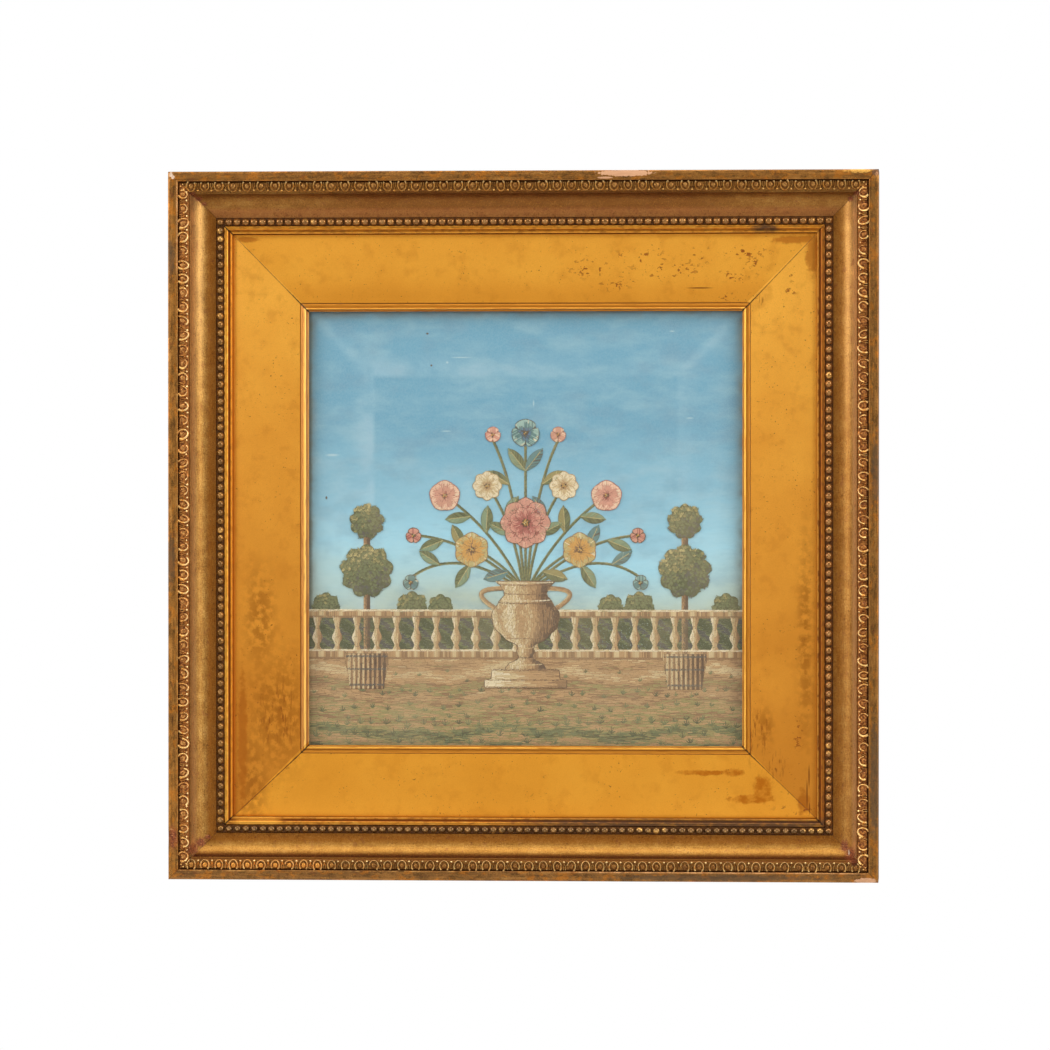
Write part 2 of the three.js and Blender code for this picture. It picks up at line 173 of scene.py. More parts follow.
def add_mesh(name, points, face_sets, sharp=35, slots=None, attributes=None):
    """A smooth-shaded object from points in millimetres and arrays of faces, turned outward."""
    face_sets = outward(points, face_sets)
    sizes = np.concatenate([np.full(len(faces), faces.shape[1]) for faces in face_sets])
    corners = np.concatenate([faces.ravel() for faces in face_sets])
    mesh = bpy.data.meshes.new(name)
    mesh.vertices.add(len(points))
    mesh.vertices.foreach_set("co", (points * MM).astype(np.float32).ravel())
    mesh.loops.add(len(corners))
    mesh.loops.foreach_set("vertex_index", corners.astype(np.int32))
    mesh.polygons.add(len(sizes))
    mesh.polygons.foreach_set("loop_start", (np.cumsum(sizes) - sizes).astype(np.int32))
    if slots is not None:
        mesh.polygons.foreach_set("material_index", np.asarray(slots, np.int32))
    mesh.polygons.foreach_set("use_smooth", np.ones(len(sizes), bool))
    for key, values in (attributes or {}).items():
        kind, field = {
            1: ("FLOAT", "value"),
            3: ("FLOAT_VECTOR", "vector"),
            4: ("FLOAT_COLOR", "color"),
        }[1 if values.ndim == 1 else values.shape[1]]
        layer = mesh.attributes.new(key, kind, "POINT")
        layer.data.foreach_set(field, values.astype(np.float32).ravel())
    mesh.update(calc_edges=True)
    mesh.set_sharp_from_angle(angle=math.radians(sharp))
    piece = bpy.data.objects.new(name, mesh)
    bpy.context.scene.collection.objects.link(piece)
    return piece


def finish_piece(piece, materials, replaces=()):
    """The piece gets its materials and its place on the frame."""
    for material in materials:
        piece.data.materials.append(material)
    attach(piece, "root")
    if replaces:
        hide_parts(*replaces)
    return piece


def scattered(unit, placements):
    """Copies of a unit shape (points, faces), each moved by a 3 x 3 matrix and an offset."""
    points, face_sets = unit
    turned = np.einsum("nij,pj->npi", placements["turn"], points) + placements["at"][:, None, :]
    starts = np.arange(len(turned)) * len(points)
    copied = [
        (faces[None] + starts[:, None, None]).reshape(-1, faces.shape[1]) for faces in face_sets
    ]
    return turned.reshape(-1, 3), copied


def merged(parts):
    """Several (points, faces) shapes as one."""
    points, face_sets, start = [], [], 0
    for part_points, part_faces in parts:
        points.append(part_points)
        face_sets += [faces + start for faces in outward(part_points, part_faces)]
        start += len(part_points)
    return np.concatenate(points), face_sets


def rounded(rows, steps=3):
    """A section's points with its corners rounded. A row is (across, height, radius)."""
    rows = np.array(rows, float)
    out = []
    for before, here, after in zip(np.roll(rows, 1, 0), rows, np.roll(rows, -1, 0)):
        corner, radius = here[:2], here[2]
        if radius == 0:
            out.append(corner)
            continue
        back, ahead = before[:2] - corner, after[:2] - corner
        start = corner + back / np.linalg.norm(back) * min(radius, np.linalg.norm(back) / 2)
        end = corner + ahead / np.linalg.norm(ahead) * min(radius, np.linalg.norm(ahead) / 2)
        for t in np.linspace(0, 1, steps + 1):
            out.append(start * (1 - t) ** 2 + corner * 2 * t * (1 - t) + end * t**2)
    return np.array(out)


def tube_faces(rows, width):
    """Faces round a tube of rows of points, and one at each end."""
    grid = np.arange(rows * width).reshape(rows, width)
    nearer, further = grid[:-1], grid[1:]
    corners = [nearer, np.roll(nearer, -1, 1), np.roll(further, -1, 1), further]
    return [np.stack(corners, -1).reshape(-1, 4), np.stack([grid[0][::-1], grid[-1]])]


def to_left(path):
    """The unit direction to the left of a path at each of its points."""
    ahead = np.gradient(path, axis=0)
    ahead /= np.linalg.norm(ahead, axis=1)[:, None]
    return np.stack([-ahead[:, 1], ahead[:, 0]], -1)


def side_direction(side):
    start, end = SIDES[side]
    run = RAIL_OUTER[end] - RAIL_OUTER[start]
    return run / np.linalg.norm(run)


def side_number(side):
    return list(SIDES).index(side)


def swept(section, width, outer, inner, side, stations):
    """A bar along one side of the frame, mitred at both ends, from a section of (across, height).
    Returns points by station and section point, the faces between them, and the end faces."""
    start, end = SIDES[side]
    share = section[:, :1] / width
    first = outer[start] * (1 - share) + inner[start] * share
    last = outer[end] * (1 - share) + inner[end] * share
    along = (outer[end] - outer[start]) / np.linalg.norm(outer[end] - outer[start])
    first = first + along * MITRE_TRIM
    last = last - along * MITRE_TRIM
    t = np.linspace(0, 1, stations + 1)[:, None, None]
    plan = first * (1 - t) + last * t
    points = np.empty((stations + 1, len(section), 3))
    points[..., 0] = plan[..., 0]
    points[..., 1] = -section[:, 1]
    points[..., 2] = plan[..., 1]
    return points, tube_faces(stations + 1, len(section))


def from_mitre(points):
    """How far each point of a swept bar lies from the nearer of its two ends."""
    length = np.linalg.norm(points[-1] - points[0], axis=-1)
    t = np.linspace(0, 1, len(points))[:, None]
    return (np.minimum(t, 1 - t) * length).ravel()


def along_side(points, side):
    """How far along its side each point lies, from the middle of the side."""
    return (points[..., [0, 2]] - FRAME_CENTRE) @ side_direction(side)


def waver(values, seed, wavelength, size):
    """A smooth uneven line: a few sines of mixed length and phase."""
    draw = np.random.default_rng(SEED + seed)
    total = np.zeros_like(values)
    for octave in range(4):
        length = wavelength / (1 + octave * 0.83) * draw.uniform(0.85, 1.15)
        total += np.sin(values * 2 * math.pi / length + draw.uniform(0, 7)) / (1 + octave)
    return total * size / 2


# Node trees

class Finish:
    """A material under construction, with short ways to add its nodes."""

    def __init__(self, name):
        self.material = bpy.data.materials.new(name)
        self.material.use_nodes = True
        self.tree = self.material.node_tree
        self.shader = self.tree.nodes["Principled BSDF"]
        self.place = self.node("ShaderNodeTexCoord").outputs["Object"]
        self.mm = self.vector("MULTIPLY", self.place, (1 / MM,) * 3)

    def node(self, kind, **settings):
        made = self.tree.nodes.new(kind)
        for key, value in settings.items():
            setattr(made, key, value)
        return made

    def feed(self, socket, value):
        if isinstance(value, bpy.types.NodeSocket):
            self.tree.links.new(value, socket)
        elif socket.type == "RGBA" and len(value) == 3:
            socket.default_value = (*value, 1)
        else:
            socket.default_value = value

    def vector(self, operation, a, b):
        made = self.node("ShaderNodeVectorMath", operation=operation)
        self.feed(made.inputs[0], a)
        self.feed(made.inputs[1], b)
        return made.outputs[0]

    def math(self, operation, a, b=0.0):
        made = self.node("ShaderNodeMath", operation=operation)
        self.feed(made.inputs[0], a)
        self.feed(made.inputs[1], b)
        return made.outputs[0]

    def times(self, a, b):
        return self.math("MULTIPLY", a, b)

    def attribute(self, name, output="Vector"):
        return self.node("ShaderNodeAttribute", attribute_name=name).outputs[output]

    def split(self, vector):
        return self.feed_new("ShaderNodeSeparateXYZ", vector).outputs

    def feed_new(self, kind, value):
        made = self.node(kind)
        self.feed(made.inputs[0], value)
        return made

    def noise(self, size, detail=3.0, stretch=(1, 1, 1), where=None, offset=0.0):
        """Noise from 0 to 1 whose lumps are about size millimetres."""
        scaled = self.vector("MULTIPLY", where or self.mm, [1 / (size * s) for s in stretch])
        moved = self.vector("ADD", scaled, (offset, offset * 0.7, offset * 1.3))
        made = self.node("ShaderNodeTexNoise")
        self.feed(made.inputs["Vector"], moved)
        made.inputs["Scale"].default_value = 1.0
        made.inputs["Detail"].default_value = detail
        made.inputs["Roughness"].default_value = 0.55
        return made.outputs[0]

    def remap(self, value, low, high, to_low=0.0, to_high=1.0, smooth=True):
        made = self.node(
            "ShaderNodeMapRange", interpolation_type="SMOOTHSTEP" if smooth else "LINEAR"
        )
        for socket, given in zip(made.inputs, (value, low, high, to_low, to_high)):
            self.feed(socket, given)
        return made.outputs[0]

    def ramp(self, value, stops):
        """A colour for each value, from rows of (value from 0 to 1, colour)."""
        made = self.feed_new("ShaderNodeValToRGB", value)
        elements = made.color_ramp.elements
        while len(elements) < len(stops):
            elements.new(1)
        for element, (position, colour) in zip(elements, stops):
            element.position = position
            element.color = (*colour, 1)
        return made.outputs[0]

    def mix(self, share, a, b):
        made = self.node("ShaderNodeMix", data_type="RGBA")
        self.feed(made.inputs[0], share)
        self.feed(made.inputs[6], a)
        self.feed(made.inputs[7], b)
        return made.outputs[2]

    def bump(self, height, strength, distance):
        made = self.node("ShaderNodeBump")
        made.inputs["Strength"].default_value = strength
        made.inputs["Distance"].default_value = distance * MM
        self.feed(made.inputs["Height"], height)
        return made.outputs[0]

    def near(self, spot, falloff=1.0):
        """1 inside an elliptical spot on the front (x, z, half width, half height), 0 outside."""
        x, z, half_x, half_z = spot
        moved = self.vector("SUBTRACT", self.mm, (x, 0, z))
        scaled = self.vector("MULTIPLY", moved, (1 / half_x, 0, 1 / half_z))
        length = self.node("ShaderNodeVectorMath", operation="LENGTH")
        self.feed(length.inputs[0], scaled)
        return self.remap(length.outputs["Value"], 1 + falloff / 2, 1 - falloff / 2)

    def near_any(self, spots, falloff=1.0):
        total = self.near(spots[0], falloff)
        for spot in spots[1:]:
            total = self.math("MAXIMUM", total, self.near(spot, falloff))
        return total

    def patch(self, spots, grain=2.0, wander=0.9, sharp=0.08):
        """1 inside the spots, 0 outside, with an edge that wanders as worn or stained edges do."""
        ragged = self.noise(grain, detail=4)
        moved = self.times(self.math("SUBTRACT", ragged, 0.5), wander * 2)
        reach = self.math("ADD", self.near_any(spots, 1.6), moved)
        return self.remap(reach, 0.5 - sharp, 0.5 + sharp)

    def surface(self, **inputs):
        """Feeds the shader: base colour, roughness and so on, by the socket's own name."""
        for key, value in inputs.items():
            self.feed(self.shader.inputs[key.replace("_", " ")], value)
        return self.material


def linear(red, green, blue):
    """A linear colour from 0 to 255 screen values."""
    values = np.array([red, green, blue]) / 255
    low, high = values / 12.92, ((values + 0.055) / 1.055) ** 2.4
    return tuple(float(v) for v in np.where(values <= 0.04045, low, high))


# Finishes

GRIME = linear(46, 26, 12)
GESSO = linear(220, 200, 178)
PIXEL = 0.7
VIEW_MIDDLE = (523.9, 525.8)


def spot(view_x, view_y, half_x, half_z):
    """An oval place on the front, from where its middle is in a 1050-pixel front view."""
    x = (view_x - VIEW_MIDDLE[0]) * PIXEL
    z = FRAME_CENTRE[1] + (VIEW_MIDDLE[1] - view_y) * PIXEL
    return (x, z, half_x, half_z)


def spots(*rows):
    return [spot(*row) for row in rows]


BARE_WOOD = spots((627, 174.5, 18.5, 2.3), (867, 878, 7.5, 1.8), (607, 179, 5, 0.7))
BARE_GESSO = spots((172, 174.5, 1.1, 1.7), (174, 177, 1.2, 1.2), (849.5, 851, 0.5, 2.0))
BARE_BOLE = spots(
    (173.5, 838, 3.2, 8), (193, 194, 2.4, 1.5), (198, 198, 2.6, 1.6), (203, 203, 1.8, 1.4),
    (857, 195, 2.4, 1.7), (851, 200, 2.0, 1.6), (192, 850, 2.6, 4.0), (199, 844, 3.2, 2.8),
    (206, 839, 2.0, 1.6), (845, 845, 2.6, 3.8), (851, 853, 3.6, 4.6), (855, 860, 2.2, 2.4),
)
# Painted highlights on the upper parts of the hollows of the left and right rails.
CAVETTO_HIGHLIGHTS = spots((846, 290, 6, 80), (200, 270, 6, 70))
CORNER_CHIP = spots((876, 174.5, 2.6, 2.3))
# Painted highlights at places along the arris.
ARRIS_HIGHLIGHTS = spots((177, 225, 2, 36), (720, 872, 110, 2))
FRESH_GOLD = spots((860, 173, 9, 1.4))
GREY_RUB = spots(
    (172, 258, 3, 12), (172, 560, 3, 18), (876, 470, 3, 22), (875, 780, 3, 40), (720, 876, 70, 2),
)


# Millimetres across the rail from its outer edge, and shares of the slip's width
HOLLOW_HIGHLIGHT_BAND = (17.5, 23.5)
LOWER_HOLLOW = (19, 26)
ARRIS = (5.9, 6.6)
WIDE_ARRIS = (5.8, 6.7)
ORNAMENT_BED = (7.3, 15.2)
EDGE_LINE = (6.7, 7.7)
DARK_BEAD_BED = (31.7, 37.5)
FILLET_COVE = (40.3, 41.5)
SLIP_FOOT = (0.24, 0.33)


def place_on_front(f):
    """How far a point is to the right of the frame's centre and above it, and 1 on each side."""
    centred = f.vector("SUBTRACT", f.mm, (FRAME_CENTRE[0], 0, FRAME_CENTRE[1]))
    right, _, up = f.split(centred)
    wide, tall = f.math("ABSOLUTE", right), f.math("ABSOLUTE", up)
    level = f.math("GREATER_THAN", tall, wide)
    upright = f.math("SUBTRACT", 1.0, level)
    above = f.math("GREATER_THAN", up, 0.0)
    rightward = f.math("GREATER_THAN", right, 0.0)
    return {
        "rightward": right,
        "upward": up,
        "edge": f.math("MAXIMUM", wide, tall),
        "upright": upright,
        "top": f.times(level, above),
        "bottom": f.times(level, f.math("SUBTRACT", 1.0, above)),
        "left": f.times(upright, f.math("SUBTRACT", 1.0, rightward)),
        "right": f.times(upright, rightward),
    }


def by_side(f, at, left, right, top, bottom):
    """A value that differs from side to side."""
    total = f.times(at["left"], left)
    for side, value in (("right", right), ("top", top), ("bottom", bottom)):
        total = f.math("ADD", total, f.times(at[side], value))
    return total


def seam(f, width):
    """1 at a mitre, fading out at a width that wanders."""
    reach = f.times(f.noise(2.2, detail=3, offset=51), width * 2)
    return f.remap(f.attribute("mitre", "Fac"), reach, 0.0)


def between(f, value, low, high, ease=0.3):
    """1 from low to high, fading out on both sides."""
    return f.times(f.remap(value, low - ease, low + ease), f.remap(value, high + ease, high - ease))


def dark_gilt():
    """Old gilding, toned brown and rubbed: finely mottled, with dark specks and bare places. Light and
    shade are painted in too: shade in the top rail's hollow and beside the ornament, more light in the
    bottom rail's hollow, and highlights on the hollows and the arris.
    """
    f = Finish("dark_gilt")
    rail = f.attribute("rail")
    across = f.split(rail)[1]
    at = place_on_front(f)
    clouds = f.noise(9, detail=4)
    streaks = f.noise(1.6, detail=4, stretch=(16, 1, 1), where=rail)
    mottle = f.noise(1.1, detail=5, offset=3)
    tone = f.math("ADD", f.times(clouds, 0.35), f.times(streaks, 0.15))
    tone = f.math("ADD", tone, f.times(mottle, 0.5))
    gold = f.ramp(
        tone,
        [
            (0.36, linear(112, 74, 26)),
            (0.47, linear(148, 104, 44)),
            (0.56, linear(172, 128, 62)),
            (0.66, linear(194, 152, 84)),
        ],
    )
    # Painted shade: the hollow of the top rail, which faces down, is darkened, most near the middle.
    hollow = f.remap(across, 28.5, 25)
    far_out = f.math("ABSOLUTE", at["rightward"])
    top_hollow_shade = f.times(f.times(at["top"], hollow), f.remap(far_out, 110, 165, 0.8, 0.3))
    gold = f.mix(top_hollow_shade, gold, linear(108, 60, 16))
    # Painted light: the hollow of the bottom rail, which faces up to the light, is lightened.
    gold = f.mix(f.times(f.times(at["bottom"], hollow), 0.35), gold, linear(180, 122, 40))
    inner = f.remap(across, 23.5, 27.5)
    warm = f.times(inner, by_side(f, at, 0.7, 0.6, 0.0, 0.7))
    gold = f.mix(warm, gold, linear(158, 88, 12))
    gold = f.mix(f.times(f.times(inner, at["top"]), 0.6), gold, linear(186, 112, 62))
    # Painted highlight on the outer shoulder of the hollow on the left and right rails; on the top and
    # bottom rails the shoulder is darkened.
    shoulder = f.times(f.remap(across, 19.5, 16), f.remap(across, 15.0, 15.8))
    gold = f.mix(f.times(shoulder, by_side(f, at, 0.55, 0.95, 0.0, 0.0)), gold, linear(212, 168, 114))
    gold = f.mix(f.times(shoulder, by_side(f, at, 0.0, 0.0, 0.3, 1.0)), gold, linear(78, 34, 6))
    flat = f.remap(across, 7.6, 7.2)
    worn_flat = f.ramp(
        f.math("ADD", f.times(streaks, 0.65), f.times(clouds, 0.35)),
        [
            (0.34, linear(106, 68, 30)),
            (0.47, linear(152, 102, 44)),
            (0.58, linear(184, 124, 56)),
            (0.7, linear(208, 150, 78)),
        ],
    )
    worn_flat = f.mix(f.times(at["top"], 0.32), worn_flat, linear(124, 80, 36))
    worn_flat = f.mix(f.times(at["right"], 0.4), worn_flat, linear(108, 76, 38))
    worn_flat = f.mix(f.times(at["bottom"], 0.42), worn_flat, linear(112, 82, 54))
    orange = f.remap(f.noise(3.4, detail=5, stretch=(1.8, 1, 1), where=rail, offset=81), 0.5, 0.64, 0, 0.5)
    worn_flat = f.mix(orange, worn_flat, linear(204, 120, 28))
    dirt = f.remap(f.noise(2.4, detail=5, stretch=(2.4, 1, 1), where=rail, offset=86), 0.54, 0.66, 0, 0.6)
    worn_flat = f.mix(dirt, worn_flat, linear(82, 56, 24))
    gold = f.mix(flat, gold, worn_flat)
    grit = f.remap(f.noise(0.75, detail=2, offset=91), 0.52, 0.68, 0, 0.32)
    gold = f.mix(grit, gold, linear(214, 152, 66))
    # Painted highlight: the upper parts of the hollow on the left and right rails are lightened.
    cavetto_highlight = f.times(f.near_any(CAVETTO_HIGHLIGHTS, 1.4), between(f, across, *HOLLOW_HIGHLIGHT_BAND, 1.5))
    cavetto_highlight = f.times(cavetto_highlight, at["upright"])
    gold = f.mix(f.times(cavetto_highlight, 0.12), gold, linear(255, 216, 146))
    lower_hollow = f.times(between(f, across, *LOWER_HOLLOW, 1.5), by_side(f, at, 0.08, 0.3, 0.16, 0.0))
    gold = f.mix(lower_hollow, gold, linear(150, 84, 24))
    # Painted highlight along the arris between the flat and the ornament, broken by noise, strongest on
    # the left and bottom rails.
    broken = f.remap(f.noise(9, detail=3, offset=40), 0.48, 0.64)
    arris_glint = f.times(between(f, across, *ARRIS, 0.2), broken)
    gold = f.mix(f.times(arris_glint, by_side(f, at, 0.6, 0.2, 0.1, 0.5)), gold, linear(218, 164, 92))
    arris_highlight = f.times(between(f, across, *WIDE_ARRIS, 0.2), f.near_any(ARRIS_HIGHLIGHTS, 0.5))
    gold = f.mix(f.times(arris_highlight, f.remap(broken, 0, 1, 0.4, 0.9)), gold, linear(224, 164, 106))
    specks = f.remap(f.noise(1.0, detail=2, offset=11), 0.58, 0.66)
    sparse = f.remap(f.noise(12, detail=2, offset=5), 0.34, 0.56, 0.1, 0.6)
    gold = f.mix(f.times(specks, sparse), gold, linear(92, 50, 14))
    rubbed = f.remap(f.noise(4, detail=5, offset=21), 0.58, 0.7, 0, 0.4)
    gold = f.mix(rubbed, gold, linear(120, 62, 36))
    # Painted shade in the groove and quirk beside the pressed ornament, weakest on the top rail.
    bed = between(f, across, *ORNAMENT_BED, 0.2)
    gold = f.mix(f.times(bed, by_side(f, at, 0.75, 0.95, 0.2, 0.85)), gold, linear(110, 62, 20))
    edge_line = between(f, across, *EDGE_LINE, 0.2)
    gold = f.mix(f.times(edge_line, by_side(f, at, 0.6, 0.9, 0.9, 0.7)), gold, linear(84, 42, 6))
    gold = f.mix(between(f, across, *DARK_BEAD_BED, 0.2), gold, linear(126, 80, 40))
    gold = f.mix(f.times(seam(f, 0.4), 0.75), gold, linear(84, 42, 16))
    front = f.math("MAXIMUM", f.remap(f.split(f.mm)[1], 9 - DEPTH, 3 - DEPTH), f.remap(across, 0.3, 1))
    grey = f.times(f.times(f.patch(GREY_RUB, 3, sharp=0.3), front), 0.6)
    gold = f.mix(grey, gold, linear(92, 76, 58))
    gold = f.mix(f.times(f.patch(FRESH_GOLD, 2.4, sharp=0.2), front), gold, linear(236, 176, 84))
    chip = f.times(f.patch(CORNER_CHIP, 1.4, wander=0.6, sharp=0.2), front)
    gold = f.mix(chip, gold, linear(128, 90, 60))
    bole = f.times(f.patch(BARE_BOLE, 1.6, wander=0.8, sharp=0.4), f.times(front, 0.9))
    cracks = f.remap(f.noise(1.3, detail=4, stretch=(2.2, 1, 0.7), offset=61), 0.58, 0.64, 0, 0.6)
    patchy = f.remap(mottle, 0.35, 0.65)
    earth = f.mix(cracks, f.mix(patchy, linear(92, 34, 14), linear(150, 78, 38)), linear(220, 156, 100))
    wood = f.times(f.patch(BARE_WOOD, 1.8, wander=0.6), front)
    gesso = f.times(f.patch(BARE_GESSO, 0.9, wander=0.7, sharp=0.2), front)
    colour = f.mix(bole, gold, earth)
    colour = f.mix(wood, colour, f.mix(streaks, linear(160, 108, 72), linear(216, 168, 126)))
    colour = f.mix(gesso, colour, f.mix(mottle, linear(176, 138, 108), GESSO))
    bare = f.math("MAXIMUM", wood, f.math("MAXIMUM", gesso, f.times(bole, 0.4)))
    metal = f.times(f.math("SUBTRACT", 1.0, bare), 0.8)
    roughness = f.math("ADD", f.remap(mottle, 0.3, 0.7, 0.36, 0.5), f.times(bare, 0.3))
    height = f.math("ADD", clouds, f.times(mottle, 0.7))
    return f.surface(
        Base_Color=colour,
        Metallic=metal,
        Roughness=roughness,
        Normal=f.bump(height, 0.45, 0.35),
    )


def bronze_gilt():
    """Dark bronzed beads with a highlight painted on their tops, and brown in the hollows between them."""
    f = Finish("bronze_gilt")
    relief = f.attribute("relief", "Fac")
    colour = f.ramp(
        f.noise(8, detail=3),
        [
            (0.36, linear(92, 62, 22)),
            (0.52, linear(116, 80, 30)),
            (0.68, linear(142, 98, 38)),
        ],
    )
    at = place_on_front(f)
    colour = f.mix(f.times(at["bottom"], 0.5), colour, linear(92, 66, 40))
    colour = f.mix(by_side(f, at, 0.08, 0.38, 0.3, 0.0), colour, linear(172, 114, 62))
    gilded = f.remap(f.noise(15, detail=2, offset=14), 0.6, 0.7, 0, 0.7)
    colour = f.mix(f.times(gilded, f.remap(relief, 0.5, 0.9)), colour, linear(214, 164, 84))
    colour = f.mix(f.remap(relief, 0.04, 0.3), linear(100, 60, 24), colour)
    # A painted highlight on the top of each bead.
    crown_highlight = f.remap(relief, 1.12, 1.175, 0, 0.5)
    colour = f.mix(crown_highlight, colour, linear(240, 182, 112))
    fine = f.noise(0.6, detail=2, offset=4)
    return f.surface(
        Base_Color=colour,
        Metallic=0.6,
        Roughness=f.remap(relief, 0.1, 0.6, 0.5, 0.21),
        Normal=f.bump(fine, 0.08, 0.1),
    )


GILDED_EGGS = spot(262, 865, 48, 5)


def ornament_gilt():
    """Pressed ornament: gold left on what stands proud, brown on the eggs and in the hollows, and glints
    painted on the ends of the hoops.
    """
    f = Finish("ornament_gilt")
    at = place_on_front(f)
    relief = f.attribute("relief", "Fac")
    tone = f.noise(1.6, detail=4)
    gold = f.ramp(
        tone,
        [
            (0.34, linear(206, 138, 58)),
            (0.48, linear(246, 186, 96)),
            (0.6, linear(255, 222, 142)),
        ],
    )
    worn = f.remap(f.noise(7, detail=5, offset=9), 0.46, 0.62, 0, 0.75)
    gold = f.mix(f.times(worn, by_side(f, at, 0.45, 0.3, 0.8, 0.6)), gold, linear(146, 96, 44))
    umber = f.mix(f.remap(tone, 0.35, 0.65), linear(116, 62, 26), linear(200, 130, 60))
    olive = f.mix(f.remap(tone, 0.35, 0.65), linear(110, 68, 24), linear(160, 108, 44))
    ground = f.mix(at["upright"], olive, umber)
    egg = f.mix(by_side(f, at, 0.2, 0.0, 0.1, 0.0), ground, gold)
    egg = f.mix(by_side(f, at, 0.0, 0.12, 0.0, 0.1), egg, linear(82, 52, 34))
    egg = f.mix(f.times(f.near(GILDED_EGGS, 0.4), 0.8), egg, linear(222, 152, 64))
    colour = f.mix(f.remap(relief, 0.05, 0.3), ground, egg)
    gold = f.mix(by_side(f, at, 0.2, 0.0, 0.6, 0.0), gold, linear(160, 106, 30))
    gold = f.mix(by_side(f, at, 0.0, 0.0, 0.0, 0.16), gold, linear(178, 134, 96))
    # Painted glints: the inner ends of the hoops on the left, right and bottom, and their outer ends on
    # the top, right and bottom, are lightened.
    inner_end_glints = f.times(f.remap(at["edge"], 238.0, 235.4), by_side(f, at, 0.8, 0.5, 0.0, 0.6))
    outer_end_glints = f.times(f.remap(at["edge"], 238.6, 240.4), by_side(f, at, 0.0, 0.3, 0.6, 0.3))
    gold = f.mix(f.math("ADD", inner_end_glints, outer_end_glints), gold, linear(255, 226, 160))
    colour = f.mix(f.remap(relief, 0.54, 0.7), colour, gold)
    colour = f.mix(f.patch(BARE_BOLE, 1.6, sharp=0.3), colour, linear(104, 54, 26))
    fine = f.noise(0.5, detail=3, offset=4)
    return f.surface(
        Base_Color=colour,
        Metallic=0.65,
        Roughness=f.remap(fine, 0.3, 0.7, 0.34, 0.5),
        Normal=f.bump(fine, 0.35, 0.15),
    )


FLAKED = spots(
    (640, 258, 18, 5), (668, 270, 22, 6), (612, 286, 10, 3), (700, 255, 10, 5), (730, 276, 12, 3),
    (754, 266, 5, 6), (735, 297, 16, 2.5), (793, 274, 4, 5), (791, 291, 4, 3), (796, 810, 12, 3.5),
    (799, 735, 3, 10), (590, 268, 14, 6), (745, 252, 16, 4),
)
STAINED = spots(
    (753, 799, 14.5, 3.0), (763, 789, 6.0, 9), (734, 772.5, 7, 2.6), (704, 773, 16, 1.8),
)
SOFT_STAINS = spots(
    (797, 240, 16, 2.6), (812, 256, 4.5, 13), (244.5, 238.5, 6.5, 1.8), (240, 740, 3, 45),
    (804, 802, 4, 8),
)
HAIRLINES = spots(
    (809.5, 776, 0.5, 7), (807.5, 794, 0.5, 9), (810, 808, 0.5, 4), (700, 288, 8, 0.5),
)
STREAKED = spots((276, 716, 13, 20), (757, 736, 7, 18), (762, 308, 2, 9), (777, 766, 5, 8))
CLOUDED = spots(
    (276, 715, 18, 34), (250, 780, 9, 30), (258, 620, 9, 30), (806, 640, 5, 60), (766, 728, 5, 12),
)


